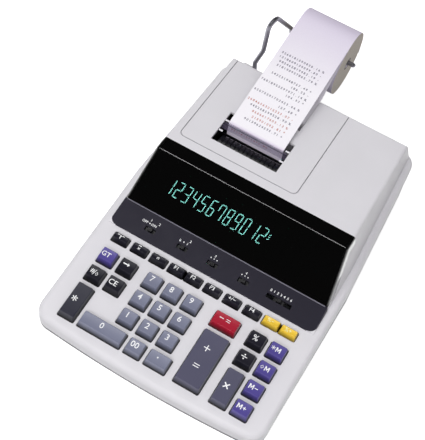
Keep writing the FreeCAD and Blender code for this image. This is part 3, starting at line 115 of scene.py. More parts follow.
def add_camera():
    azimuth, elevation = CAMERA_AZIMUTH, CAMERA_ELEVATION
    back = Vector((
        math.sin(azimuth) * math.cos(elevation),
        -math.cos(azimuth) * math.cos(elevation),
        math.sin(elevation),
    ))
    level = Vector((0, 0, 1)).cross(back).normalized()
    upward = back.cross(level)
    c, s = math.cos(CAMERA_ROLL), math.sin(CAMERA_ROLL)
    right = level * c + upward * s
    up = upward * c - level * s
    place = to_world(*CAMERA_TARGET)
    place += (-right * CAMERA_OFFSET[0] - up * CAMERA_OFFSET[1] + back * CAMERA_DISTANCE) * MM
    data = bpy.data.cameras.new("camera")
    data.sensor_fit = "AUTO"
    data.sensor_width = SENSOR
    data.lens = CAMERA_FOCAL_PIXELS / IMAGE_HEIGHT * SENSOR
    data.clip_start = 0.01
    camera = bpy.data.objects.new("camera", data)
    turn = Matrix((right, up, back)).transposed().to_4x4()
    camera.matrix_world = Matrix.Translation(place) @ turn
    bpy.context.scene.collection.objects.link(camera)
    bpy.context.scene.camera = camera


add_camera()


# Materials

def linear(code):
    """Colour from a hex code as linear values."""
    values = []
    for index in (0, 2, 4):
        value = int(code[index:index + 2], 16) / 255
        values.append(value / 12.92 if value <= 0.04045 else ((value + 0.055) / 1.055) ** 2.4)
    return (*values, 1.0)


def scaled(colour, factor):
    return (*[min(1.0, v * factor) for v in colour[:3]], 1.0)


def new_material(name):
    material = bpy.data.materials.new(name)
    material.use_nodes = True
    tree = material.node_tree
    return material, tree, tree.nodes["Principled BSDF"]


def noise(tree, scale, detail=4.0, rough=0.5, stretch=(1, 1, 1)):
    """Noise over the object's own coordinates, in cycles per metre."""
    place = tree.nodes.new("ShaderNodeTexCoord")
    mapping = tree.nodes.new("ShaderNodeMapping")
    mapping.inputs["Scale"].default_value = stretch
    node = tree.nodes.new("ShaderNodeTexNoise")
    node.inputs["Scale"].default_value = scale
    node.inputs["Detail"].default_value = detail
    node.inputs["Roughness"].default_value = rough
    tree.links.new(place.outputs["Object"], mapping.inputs["Vector"])
    tree.links.new(mapping.outputs["Vector"], node.inputs["Vector"])
    return node


def ramp(tree, source, low, high, first, last):
    node = tree.nodes.new("ShaderNodeValToRGB")
    node.color_ramp.elements[0].position = low
    node.color_ramp.elements[0].color = first
    node.color_ramp.elements[1].position = high
    node.color_ramp.elements[1].color = last
    tree.links.new(source, node.inputs["Fac"])
    return node


def grey(value):
    return (value, value, value, 1.0)


def vary(tree, pattern, low, high, first, last, socket):
    """Let a pattern move a shader's socket between two values."""
    colour = ramp(tree, pattern.outputs["Fac"], low, high, first, last).outputs["Color"]
    tree.links.new(colour, socket)


def roughen(tree, shader, pattern, strength, depth):
    """Raise and lower a surface a little with a pattern, to a depth in metres."""
    bump = tree.nodes.new("ShaderNodeBump")
    bump.inputs["Strength"].default_value = strength
    bump.inputs["Distance"].default_value = depth
    tree.links.new(pattern.outputs["Fac"], bump.inputs["Height"])
    tree.links.new(bump.outputs["Normal"], shader.inputs["Normal"])


def shaded_foot(tree, colour, dark, reach):
    """Paint shade onto a key's colour, darker towards the keyboard, where the well between the keys lies
    in shade.
    """
    place = tree.nodes.new("ShaderNodeTexCoord")
    tilt = tree.nodes.new("ShaderNodeVectorMath")
    tilt.operation = "DOT_PRODUCT"
    tilt.inputs[1].default_value = (0, -math.tan(SLOPE), 1)
    tree.links.new(place.outputs["Object"], tilt.inputs[0])
    rise = tree.nodes.new("ShaderNodeMapRange")
    foot = (FRONT_HEIGHT + ORIGIN_Y * math.tan(SLOPE)) * MM
    rise.inputs["From Min"].default_value = foot + FOOT_SHADE_START * MM
    rise.inputs["From Max"].default_value = foot + reach * MM
    rise.inputs["To Min"].default_value = dark
    rise.inputs["To Max"].default_value = 1.0
    tree.links.new(tilt.outputs["Value"], rise.inputs["Value"])
    dim = tree.nodes.new("ShaderNodeVectorMath")
    dim.operation = "SCALE"
    tree.links.new(colour, dim.inputs[0])
    tree.links.new(rise.outputs["Result"], dim.inputs["Scale"])
    return dim.outputs["Vector"]


def plastic(name, code, roughness, depth=0.00004, spread=0.04, specular=0.5, foot=None):
    """Moulded plastic: slight cloudiness in colour and gloss, and a fine grain."""
    material, tree, shader = new_material(name)
    colour = linear(code)
    cloud = noise(tree, 28.0, 3.0)
    light, dark = scaled(colour, 1 + spread), scaled(colour, 1 - spread)
    base = ramp(tree, cloud.outputs["Fac"], 0.3, 0.7, dark, light).outputs["Color"]
    # Painted shade: a key darkens towards its foot, where the well between the keys lies in shade
    if foot is not None:
        base = shaded_foot(tree, base, *foot)
    tree.links.new(base, shader.inputs["Base Color"])
    smooth, dull = grey(roughness * 0.88), grey(min(1.0, roughness * 1.12))
    vary(tree, noise(tree, 90.0, 5.0), 0.3, 0.7, smooth, dull, shader.inputs["Roughness"])
    roughen(tree, shader, noise(tree, PLASTIC_GRAIN, 2.0), 0.35, depth)
    shader.inputs["Specular IOR Level"].default_value = specular
    return material


def metal(name, code, roughness, stretch=(1, 1, 1)):
    """Brushed or drawn metal."""
    material, tree, shader = new_material(name)
    colour = linear(code)
    streak = noise(tree, METAL_GRAIN, 4.0, 0.6, stretch)
    vary(tree, streak, 0.3, 0.7, scaled(colour, 0.86), scaled(colour, 1.1), shader.inputs["Base Color"])
    smooth, dull = grey(roughness * 0.8), grey(roughness * 1.2)
    vary(tree, streak, 0.3, 0.7, smooth, dull, shader.inputs["Roughness"])
    shader.inputs["Metallic"].default_value = 1.0
    roughen(tree, shader, streak, 0.2, 0.00002)
    return material


def smoked_lens(name):
    """Smoked clear plastic of the display window."""
    material, tree, shader = new_material(name)
    dark, light = grey(LENS_TINT * 0.95), grey(LENS_TINT * 1.05)
    vary(tree, noise(tree, 15.0, 2.0), 0.3, 0.7, dark, light, shader.inputs["Base Color"])
    shader.inputs["Transmission Weight"].default_value = 1.0
    shader.inputs["IOR"].default_value = 1.49
    shader.inputs["Coat Weight"].default_value = 1.0
    shader.inputs["Coat IOR"].default_value = 1.6
    shader.inputs["Coat Roughness"].default_value = 0.04
    smear = noise(tree, 60.0, 5.0)
    vary(tree, smear, 0.35, 0.8, grey(0.02), grey(0.06), shader.inputs["Roughness"])
    return material


def glow(name, code, strength):
    """A surface that gives light, a little unevenly."""
    material, tree, shader = new_material(name)
    colour = linear(code)
    uneven = noise(tree, 400.0, 2.0)
    for socket in ("Emission Color", "Base Color"):
        vary(tree, uneven, 0.3, 0.7, scaled(colour, 0.9), scaled(colour, 1.05), shader.inputs[socket])
    shader.inputs["Emission Strength"].default_value = strength
    shader.inputs["Roughness"].default_value = 0.6
    return material


def paper(name, code, near_shade_code=None, far_shade_code=None):
    """Paper with faint fibres, which may have painted shade, a darker lilac, low in the printer and on
    the roll.
    """
    material, tree, shader = new_material(name)
    colour = linear(code)
    fibre = noise(tree, 900.0, 6.0, 0.65)
    if near_shade_code is None:
        dark, light = scaled(colour, FIBRE_DARK), scaled(colour, FIBRE_LIGHT)
        vary(tree, fibre, 0.25, 0.75, dark, light, shader.inputs["Base Color"])
    else:
        place = tree.nodes.new("ShaderNodeTexCoord")
        along = tree.nodes.new("ShaderNodeSeparateXYZ")
        tree.links.new(place.outputs["Object"], along.inputs["Vector"])
        reach = tree.nodes.new("ShaderNodeMapRange")
        reach.inputs["From Min"].default_value = (SHADE_NEAR_Y - ORIGIN_Y) * MM
        reach.inputs["From Max"].default_value = (SHADE_FAR_Y - ORIGIN_Y) * MM
        tree.links.new(along.outputs["Y"], reach.inputs["Value"])
        # Painted shade: darker lilac low in the printer and on the roll, plain paper colour between
        shade = ramp(tree, reach.outputs["Result"], 0.0, 1.0, linear(near_shade_code), linear(far_shade_code))
        white = (SHADE_WHITE_Y - SHADE_NEAR_Y) / (SHADE_FAR_Y - SHADE_NEAR_Y)
        for share in (white, SHADE_WHITE_UNTIL):
            shade.color_ramp.elements.new(share).color = colour
        grain = tree.nodes.new("ShaderNodeMapRange")
        grain.inputs["From Min"].default_value = 0.25
        grain.inputs["From Max"].default_value = 0.75
        grain.inputs["To Min"].default_value = FIBRE_DARK
        grain.inputs["To Max"].default_value = FIBRE_LIGHT
        tree.links.new(fibre.outputs["Fac"], grain.inputs["Value"])
        mixed = tree.nodes.new("ShaderNodeVectorMath")
        mixed.operation = "SCALE"
        tree.links.new(shade.outputs["Color"], mixed.inputs[0])
        tree.links.new(grain.outputs["Result"], mixed.inputs["Scale"])
        tree.links.new(mixed.outputs["Vector"], shader.inputs["Base Color"])
    shader.inputs["Roughness"].default_value = 0.85
    shader.inputs["Specular IOR Level"].default_value = 0.2
    roughen(tree, shader, fibre, 0.25, 0.00003)
    return material


def ink(name, code):
    """Printing ink, a little uneven."""
    material, tree, shader = new_material(name)
    colour = linear(code)
    uneven = noise(tree, 1500.0, 3.0)
    vary(tree, uneven, 0.3, 0.7, scaled(colour, 0.85), scaled(colour, 1.15), shader.inputs["Base Color"])
    shader.inputs["Roughness"].default_value = 0.7
    shader.inputs["Specular IOR Level"].default_value = 0.25
    return material


def clear_plastic(name):
    """Thin tinted clear plastic, seen through without bending what is behind it."""
    material, tree, shader = new_material(name)
    haze = noise(tree, 120.0, 4.0)
    vary(tree, haze, 0.3, 0.7, linear("8f84a6"), linear("a398b8"), shader.inputs["Base Color"])
    shader.inputs["Alpha"].default_value = 0.2
    vary(tree, haze, 0.3, 0.7, grey(0.08), grey(0.18), shader.inputs["Roughness"])
    return material


def roll_side(name, code):
    """End of a paper roll: fine rings of wound paper around the roll's middle."""
    material, tree, shader = new_material(name)
    place = tree.nodes.new("ShaderNodeTexCoord")
    mapping = tree.nodes.new("ShaderNodeMapping")
    mapping.inputs["Location"].default_value = (0, -(ROLL_Y - ORIGIN_Y) * MM, -ROLL_Z * MM)
    wave = tree.nodes.new("ShaderNodeTexWave")
    wave.wave_type = "RINGS"
    wave.rings_direction = "X"
    wave.inputs["Scale"].default_value = 900.0
    wave.inputs["Distortion"].default_value = 2.0
    wave.inputs["Detail"].default_value = 3.0
    tree.links.new(place.outputs["Object"], mapping.inputs["Vector"])
    tree.links.new(mapping.outputs["Vector"], wave.inputs["Vector"])
    colour = linear(code)
    vary(tree, wave, 0.2, 0.8, scaled(colour, 0.9), scaled(colour, 1.05), shader.inputs["Base Color"])
    shader.inputs["Roughness"].default_value = 0.9
    shader.inputs["Specular IOR Level"].default_value = 0.15
    roughen(tree, shader, wave, 0.4, 0.00005)
    return material


# Grain in cycles per metre, and the depth in metres of a satin grain
PLASTIC_GRAIN = 1400.0
METAL_GRAIN = 600.0
SATIN = 0.00002

# Painted shade on the keys: how dark a key is painted at its foot, and the height in millimetres at
# which it has its full colour
FOOT_SHADE_START = 0.6
TALL_FOOT_SHADE = (0.04, 5.5)
LOW_FOOT_SHADE = (0.1, 4.1)
TAX_FOOT_SHADE = (0.3, 3.9)
MINUS_FOOT_SHADE = (0.2, 5.2)

LENS_TINT = 0.02

# Where the painted shade on the strip of paper lies, and how much its fibres vary
SHADE_NEAR_Y = 237.3
SHADE_WHITE_Y = 240.0
SHADE_FAR_Y = 385.0
SHADE_WHITE_UNTIL = 0.45
FIBRE_DARK = 0.965
FIBRE_LIGHT = 1.02

CASE = plastic("case_grain", "dddbe0", 0.42, spread=0.015)
LOWER = plastic("lower_grain", "7a787d", 0.5, spread=0.03)
PANEL = plastic("panel_satin", "292732", 0.36, depth=SATIN, specular=0.12)
# Painted highlight: the lip at the foot of the lens is lighter than the panel
PANEL_RIM_HIGHLIGHT = plastic("panel_rim", "6f6d7a", 0.35, depth=SATIN)
KNOB = plastic("knob_satin", "121116", 0.4)
# Key materials with painted shade towards their feet
NUMBER_KEY = plastic("number_key", "7b7e93", 0.34, depth=SATIN, foot=TALL_FOOT_SHADE)
FUNCTION_KEY = plastic("function_key", "201f29", 0.32, depth=SATIN, specular=0.35, foot=TALL_FOOT_SHADE)
LOW_KEY = plastic("low_function_key", "201f29", 0.32, depth=SATIN, specular=0.35, foot=LOW_FOOT_SHADE)
TOTAL_KEY = plastic("total_key", "31313d", 0.34, depth=SATIN, specular=0.4, foot=TALL_FOOT_SHADE)
TALL_KEY = plastic("tall_key", "525167", 0.34, depth=SATIN, foot=TALL_FOOT_SHADE)
MEMORY_KEY = plastic("memory_key", "524893", 0.34, depth=SATIN, foot=TALL_FOOT_SHADE)
TAX_KEY = plastic("tax_key", "eec63c", 0.34, depth=SATIN, foot=TAX_FOOT_SHADE)
MINUS_KEY = plastic("minus_key", "a81c33", 0.28, depth=SATIN, foot=MINUS_FOOT_SHADE)
LENS = smoked_lens("lens_smoke")
TUBE = plastic("tube_glass", "060809", 0.08, depth=0.00001)
BOARD = plastic("board_resin", "1d4a2c", 0.5)
SHEET = plastic("sheet_rubber", "17171a", 0.7)
CORE = plastic("core_varnish", "3a3a40", 0.45)
FRAME = metal("frame_zinc", "4c4c50", 0.4)
DRUM = plastic("drum_type", "15151b", 0.35)
ROLLER = plastic("roller_rubber", "1a1a1c", 0.7)
CASSETTE = plastic("cassette_black", "101014", 0.4)
CLEAR = clear_plastic("tear_bar_clear")
# Painted highlight: white for the small pieces at the ends of the tear bar
PAINTED_GLINT = plastic("glint_white", "f0eef4", 0.4)
ROLL_FACE = paper("roll_paper", "ded6e8")
ROLL_SIDE = roll_side("roll_end", "e6ddd3")
ROLL_CORE = plastic("roll_core", "5c5148", 0.6)
# The tape's second and third colours are painted shade, low in the printer and on the roll
TAPE = paper("tape_paper", "f4f1f7", "e2d9ea", "dcd3e6")
TEAR_STEEL = metal("tear_steel", "55525c", 0.45)
# Painted shade: the dark line in the gap round the cover
COVER_GAP_SHADE = plastic("cover_gap_shade", "7b7a80", 0.5)
WIRE = metal("wire_nickel", "9c9ba4", 0.42, stretch=(0.2, 1, 1))
FOOT = plastic("foot_rubber", "18181a", 0.8)
SCREW = metal("screw_zinc", "8b8b8d", 0.35)
LEGEND = ink("legend_white", "f2f3f7")
PALE_LEGEND = ink("legend_pale", "fbefb4")
DARK_INK = ink("print_violet", "4c445e")
RED_INK = ink("print_red", "b3604f")
GLOW = glow("digit_glow", "8de6da", 62.0)


def dress(name, material):
    """Give a carried-over piece its material."""
    node = nodes[name]
    for index in range(len(node.material_slots)):
        node.material_slots[index].material = material


NUMBER_NAMES = "one two three four five six seven eight nine zero double_zero point".split()
FUNCTION_NAMES = "clear_entry backspace percent divide subtotal".split()
LOW_NAMES = "paper_feed average item_count rate_set rate_recall time sign markup".split()
MEMORY_NAMES = "grand_total memory_plus memory_minus memory_subtotal memory_total".split()

for word in NUMBER_NAMES:
    dress("key_" + word, NUMBER_KEY)
for word in FUNCTION_NAMES:
    dress("key_" + word, FUNCTION_KEY)
for word in LOW_NAMES:
    dress("key_" + word, LOW_KEY)
for word in MEMORY_NAMES:
    dress("key_" + word, MEMORY_KEY)
for word in ("multiply", "plus_equals"):
    dress("key_" + word, TALL_KEY)
dress("key_total", TOTAL_KEY)
for word in ("tax_minus", "tax_plus"):
    dress("key_" + word, TAX_KEY)
dress("key_minus_equals", MINUS_KEY)
for name, material in (
    ("upper_case", CASE), ("printer_cover", CASE), ("lower_case", LOWER),
    ("display_lens", LENS), ("switch_panel", PANEL), ("display_tube", TUBE),
    ("circuit_board", BOARD), ("contact_sheet", SHEET), ("power_transformer", CORE),
    ("printer_frame", FRAME), ("print_drum", DRUM), ("feed_roller", ROLLER),
    ("ribbon_cassette", CASSETTE), ("tear_bar", CLEAR), ("paper_roll", ROLL_FACE),
    ("paper_tape", TAPE), ("roll_holder", WIRE), ("rubber_feet", FOOT), ("case_screws", SCREW),
    ("switch_power", KNOB), ("switch_rate", KNOB), ("switch_round", KNOB),
    ("switch_item", KNOB), ("switch_decimal", KNOB),
):
    dress(name, material)


# Roll ends get their own material, face by face

def split_roll():
    mesh = nodes["paper_roll"].data
    mesh.materials.append(ROLL_SIDE)
    last = len(mesh.materials) - 1
    for face in mesh.polygons:
        if abs(face.normal.x) > 0.9:
            face.material_index = last


split_roll()


# Lettering

# Share of the font size that a capital takes, and the thickness of raised signs in millimetres
FONT_CAPITAL = 0.69
GLYPH_THICK = 0.03

# How far marks, ink and lines lie off the surface under them, in millimetres
MARK_LIFT = 0.03
INK_LIFT = 0.02
LINE_LIFT = 0.04
CORE_LIFT = 0.06

GLYPHS = {}


def glyph(text, height, bold=0.0):
    """Vertices and faces of flat signs, in millimetres about their own middle."""
    key = (text, height, bold)
    if key not in GLYPHS:
        data = bpy.data.curves.new("glyph", "FONT")
        data.body = text
        data.size = height / FONT_CAPITAL
        data.offset = bold
        data.extrude = GLYPH_THICK
        data.resolution_u = 3
        data.align_x = "CENTER"
        shape = bpy.data.objects.new("glyph", data)
        mesh = bpy.data.meshes.new_from_object(shape)
        vertices = [(v.co.x, v.co.y - height / 2, v.co.z) for v in mesh.vertices]
        faces = [tuple(face.vertices) for face in mesh.polygons]
        bpy.data.objects.remove(shape)
        bpy.data.curves.remove(data)
        bpy.data.meshes.remove(mesh)
        GLYPHS[key] = (vertices, faces)
    return GLYPHS[key]


def flat(*corners):
    """One flat face from corners in the plane."""
    return [(x, y, 0.0) for x, y in corners], [tuple(range(len(corners)))]


def block(left, low, right, high):
    return flat((left, low), (right, low), (right, high), (left, high))


def letter_m(height, thick):
    """A capital M of even strokes."""
    half = height * 0.48
    tall = height / 2
    shoulder = thick * 1.3
    return flat(
        (-half, -tall), (-half + thick, -tall), (-half + thick, tall * 0.28), (0, -tall * 0.72),
        (half - thick, tall * 0.28), (half - thick, -tall), (half, -tall), (half, tall),
        (half - shoulder, tall), (0, -tall * 0.06), (-half + shoulder, tall), (-half, tall),
    )


def dot(radius, count=12):
    turns = [2 * math.pi * k / count for k in range(count)]
    return flat(*[(radius * math.cos(a), radius * math.sin(a)) for a in turns])


def arrow(length, thick):
    """An arrow that points to the right."""
    half = length / 2
    neck = half - thick * 1.7
    head = thick * 1.6
    shaft = thick / 2
    return flat(
        (-half, -shaft), (neck, -shaft), (neck, -head), (half, 0),
        (neck, head), (neck, shaft), (-half, shaft),
    )


def turned(shape):
    """A shape turned a quarter to the left."""
    vertices, faces = shape
    return [(-y, x, z) for x, y, z in vertices], faces


def diamond(width, height, thick):
    """An upright diamond outline."""
    outer = [(width / 2, 0), (0, height / 2), (-width / 2, 0), (0, -height / 2)]
    inner = [(x * (1 - 2.6 * thick / width), y * (1 - 2.6 * thick / height)) for x, y in outer]
    vertices = [(x, y, 0.0) for x, y in outer + inner]
    faces = [(k, (k + 1) % 4, 4 + (k + 1) % 4, 4 + k) for k in range(4)]
    return vertices, faces


def merged(parts):
    """One list of vertices and faces from several (shape, dx, dy)."""
    vertices, faces = [], []
    for (points, corners), dx, dy in parts:
        start = len(vertices)
        vertices += [(x + dx, y + dy, z) for x, y, z in points]
        faces += [tuple(start + i for i in face) for face in corners]
    return vertices, faces


def add_free(name, vertices, faces, material):
    mesh = bpy.data.meshes.new(name)
    mesh.from_pydata([tuple(v) for v in vertices], [], faces)
    mesh.update()
    mesh.materials.append(material)
    piece = bpy.data.objects.new(name, mesh)
    bpy.context.scene.collection.objects.link(piece)
    return piece


def add_piece(name, vertices, faces, material, body, slot):
    piece = add_free(name, vertices, faces, material)
    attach(piece, body)
    return piece


def record_slot(node):
    for entry in frame["record"]["subparts"]:
        if entry["node"] == node:
            return entry["material_slot"]
    return None


def row_y(row):
    return FIRST_ROW_Y + COLUMN_PITCH * row


def key_point(x, y, height, depth, u, v, lift):
    """World place of a point on a key's dished top, with u across and v up the key."""
    top_depth = depth - KEY_TOP_FRONT - KEY_TOP_BACK
    bow = top_depth * top_depth / (8 * KEY_DISH) + KEY_DISH / 2
    middle = (KEY_TOP_FRONT - KEY_TOP_BACK) / 2
    w = height - KEY_DISH + (v - middle) ** 2 / (2 * bow) + MARK_LIFT + lift
    return to_world(
        x + u,
        y + v * math.cos(SLOPE) - w * math.sin(SLOPE),
        plane_z(y) + v * math.sin(SLOPE) + w * math.cos(SLOPE),
    )


UNIT = (KEY_DEPTH, KEY_HEIGHT)
TALL = (KEY_DEPTH + COLUMN_PITCH, KEY_HEIGHT)
TALLEST = (KEY_DEPTH + 2 * COLUMN_PITCH, KEY_HEIGHT)
LOW = (FUNCTION_DEPTH, FUNCTION_HEIGHT)

# Heights of signs, and where their middles lie on the keys, in millimetres
BIG = 8.6
DIGIT = 5.3
LETTER = 4.5
SMALL = 3.5
PANEL_SIGN = 2.3
SIGN_U = -1.3
SIGN_V = 1.9
LETTER_V = -0.8
LOW_U = -0.8
LOW_V = 0.9


def legend(word, y, size, parts, material=LEGEND):
    """Signs on one key. Each part is (shape, u, v)."""
    depth, height = size
    low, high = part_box("key_" + word)
    x = (low[0] + high[0]) / 2 / MM
    vertices, faces = merged(parts)
    placed = [key_point(x, y, height, depth, u, v, w) for u, v, w in vertices]
    add_piece("legend_" + word, placed, faces, material, "key_" + word, record_slot("key_" + word))


def sign(text, height, u=0.0, v=0.0, bold=0.06):
    return glyph(text, height, bold), SIGN_U + u, SIGN_V + v


def memory_sign(u):
    return letter_m(LETTER, 0.85), SIGN_U + u, SIGN_V + LETTER_V


for index, word in enumerate(NUMBER_NAMES[:9]):
    legend(word, row_y(1 + index // 3), UNIT, [sign(str(index + 1), DIGIT)])
legend("zero", row_y(0), UNIT, [sign("0", DIGIT)])
legend("double_zero", row_y(0), UNIT, [sign("00", DIGIT)])
legend("point", row_y(0), UNIT, [(dot(0.75), SIGN_U, SIGN_V)])
legend("minus_equals", row_y(3), UNIT, [
    (block(-2.0, -0.35, 2.0, 0.35), -3.4 + SIGN_U, SIGN_V),
    (block(-2.0, 0.6, 2.0, 1.2), 3.0 + SIGN_U, SIGN_V),
    (block(-2.0, -1.2, 2.0, -0.6), 3.0 + SIGN_U, SIGN_V),
])
legend("plus_equals", row_y(1), TALLEST, [
    (block(-3.0, -0.4, 3.0, 0.4), SIGN_U, 11.0),
    (block(-0.4, 0.4, 0.4, 3.0), SIGN_U, 11.0),
    (block(-0.4, -3.0, 0.4, -0.4), SIGN_U, 11.0),
    (block(-2.8, 0.75, 2.8, 1.5), SIGN_U, -7.0),
    (block(-2.8, -1.5, 2.8, -0.75), SIGN_U, -7.0),
])
legend("percent", row_y(3), UNIT, [sign("%", DIGIT, 0, LETTER_V)])
legend("divide", row_y(2), UNIT, [
    (block(-2.7, -0.4, 2.7, 0.4), SIGN_U, SIGN_V + LETTER_V),
    (dot(0.7), SIGN_U, SIGN_V + LETTER_V + 1.95),
    (dot(0.7), SIGN_U, SIGN_V + LETTER_V - 1.95),
])
legend("multiply", row_y(0.5), TALL, [(glyph("\u00d7", BIG, 0.05), SIGN_U, 0.6)])
legend("memory_plus", row_y(0), UNIT, [memory_sign(-1.6), sign("+", LETTER, 2.9, LETTER_V)])
legend("memory_minus", row_y(1), UNIT, [memory_sign(-1.6), sign("\u2212", LETTER, 2.9, LETTER_V)])
legend("memory_subtotal", row_y(2), UNIT, [
    (diamond(3.0, 3.8, 0.4), SIGN_U - 2.6, SIGN_V + LETTER_V), memory_sign(2.1),
])
legend("memory_total", row_y(3), UNIT, [
    sign("*", LETTER * 1.3, -2.6, LETTER_V - 1.0), memory_sign(2.1),
])
legend("grand_total", row_y(3), UNIT, [sign("GT", LETTER, -0.6, LETTER_V)])
legend("backspace", row_y(3), UNIT, [(arrow(6.4, 1.1), SIGN_U, SIGN_V)])
legend("subtotal", row_y(2), UNIT, [
    sign("#", LETTER * 0.9, -1.9, LETTER_V + 0.6), sign("/", LETTER * 1.2, 0.4, LETTER_V - 0.3),
    (diamond(2.8, 3.8, 0.4), SIGN_U + 2.9, SIGN_V + LETTER_V - 1.0),
])
legend("clear_entry", row_y(2), UNIT, [sign("CE", LETTER * 1.1, -0.6, LETTER_V)])
legend("total", row_y(0.5), TALL, [(glyph("*", BIG, 0.08), SIGN_U - 0.6, -0.8)])


def low_legend(word, *parts):
    material = PALE_LEGEND if word.startswith("tax") else LEGEND
    legend(word, FUNCTION_ROW_Y, LOW, list(parts), material)


def small(text, u=0.0, v=0.0):
    return glyph(text, SMALL, 0.06), LOW_U + u, LOW_V + v


low_legend(
    "paper_feed",
    (turned(arrow(3.8, 0.75)), LOW_U, LOW_V - 0.1),
    (block(-3.4, 1.2, -1.2, 1.8), LOW_U, LOW_V),
    (block(1.2, 1.2, 3.4, 1.8), LOW_U, LOW_V),
)
low_legend("average", small("x", 0, -0.7), (block(-1.5, 1.3, 1.5, 1.8), LOW_U, LOW_V))
low_legend("item_count", small("n", 0, 0.2))
low_legend("rate_set", small("F1"))
low_legend("rate_recall", small("F2"))
low_legend("time", small("F3"))
low_legend("sign", small("+/\u2212"))
low_legend("markup", small("F4"))
low_legend("tax_minus", small("%\u2212"))
low_legend("tax_plus", small("%+"))


# Marks beside the switches

TOE_RUN = LENS_BOTTOM[0] - PANEL_FRONT_Y
TOE_FRONT_Z = plane_z(PANEL_FRONT_Y) + 1.1
TOE_RISE = LENS_BOTTOM[1] - TOE_FRONT_Z
TOE_ANGLE = math.atan2(TOE_RISE, TOE_RUN)
PANEL_HALF = 101.5
PANEL_ROW = 16.2
PANEL_UPPER_ROW = PANEL_ROW + 3.3
LIP_RADIUS = 0.55
LIP_STEPS = 6


def panel_point(x, along, lift):
    """World place of a point on the switch panel, from its front edge up."""
    out = lift + MARK_LIFT
    y = PANEL_FRONT_Y + along * math.cos(TOE_ANGLE) - out * math.sin(TOE_ANGLE)
    z = TOE_FRONT_Z + along * math.sin(TOE_ANGLE) + out * math.cos(TOE_ANGLE)
    return to_world(x, y, z)


def panel_sign(text, x, along, height=PANEL_SIGN):
    return glyph(text, height, 0.05), x, along


def panel_marks():
    parts = [
        panel_sign("OFF", -76.2, PANEL_ROW),
        (dot(0.65), -71.4, PANEL_ROW),
        panel_sign("ON", -67.0, PANEL_ROW),
        panel_sign("1", -71.4, PANEL_UPPER_ROW),
        panel_sign("2", -63.0, PANEL_UPPER_ROW),
        panel_sign("0", -39.6, PANEL_ROW),
        (dot(0.65), -35.8, PANEL_ROW),
        panel_sign("1", -32.0, PANEL_ROW),
        panel_sign("2", -30.6, PANEL_UPPER_ROW),
    ]
    for middle, mark in ((-4.4, "3"), (27.2, "4")):
        for step in (-1, 0, 1):
            parts.append((dot(0.55), middle + step * 3.1, PANEL_ROW - 0.2))
        parts.append(panel_sign(mark, middle, PANEL_UPPER_ROW - 0.6, 2.2))
    for step in range(7):
        parts.append(panel_sign(str(step), 53.6 + step * 3.3, PANEL_ROW + 0.4))
    vertices, faces = merged(parts)
    placed = [panel_point(u, v, w) for u, v, w in vertices]
    add_piece("panel_marks", placed, faces, LEGEND, "case", record_slot("switch_panel"))


def panel_rim():
    """Rounded lip where the panel meets the foot of the lens, lighter than the panel: a painted
    highlight.
    """
    length = math.hypot(TOE_RUN, TOE_RISE)
    vertices = []
    for x in (-PANEL_HALF, PANEL_HALF):
        for k in range(LIP_STEPS + 1):
            turn = math.pi * k / LIP_STEPS
            along = length - LIP_RADIUS - LIP_RADIUS * math.cos(turn)
            vertices.append(panel_point(x, along, LIP_RADIUS * 0.6 * math.sin(turn)))
    faces = [(k, LIP_STEPS + 1 + k, LIP_STEPS + 2 + k, k + 1) for k in range(LIP_STEPS)]
    add_piece("panel_rim", vertices, faces, PANEL_RIM_HIGHLIGHT, "case", record_slot("switch_panel"))


panel_marks()
panel_rim()


# Display digits on the front of the tube

LENS_RUN = RIDGE_FRONT[0] - LENS_BOTTOM[0]
LENS_RISE = RIDGE_FRONT[1] - LENS_BOTTOM[1]
LENS_ANGLE = math.atan2(LENS_RISE, LENS_RUN)


def lens_point(x, along, inward):
    """World place of a point up the lens from its foot and inward from its face."""
    y = LENS_BOTTOM[0] + along * math.cos(LENS_ANGLE) + inward * math.sin(LENS_ANGLE)
    z = LENS_BOTTOM[1] + along * math.sin(LENS_ANGLE) - inward * math.cos(LENS_ANGLE)
    return to_world(x, y, z)


SEGMENTS = {
    "a": ((0.0, 1.0), (1.0, 1.0)),
    "b": ((1.0, 1.0), (1.0, 0.5)),
    "c": ((1.0, 0.5), (1.0, 0.0)),
    "d": ((0.0, 0.0), (1.0, 0.0)),
    "e": ((0.0, 0.5), (0.0, 0.0)),
    "f": ((0.0, 1.0), (0.0, 0.5)),
    "g": ((0.0, 0.5), (1.0, 0.5)),
}
SHAPES = {
    "0": "abcdef", "1": "bc", "2": "abged", "3": "abgcd", "4": "fgbc",
    "5": "afgcd", "6": "afgedc", "7": "fabc", "8": "abcdefg", "9": "abcdfg",
}
DIGIT_HEIGHT = 15.6
DIGIT_WIDTH = 4.9
DIGIT_PITCH = 8.6
DIGIT_LEAN = 0.16
SEGMENT_WIDTH = 0.8
SEGMENT_GAP = 0.3
FIRST_DIGIT_X = -71.0
DIGIT_MIDDLE = 27.6
DIGIT_LIFT = 0.06


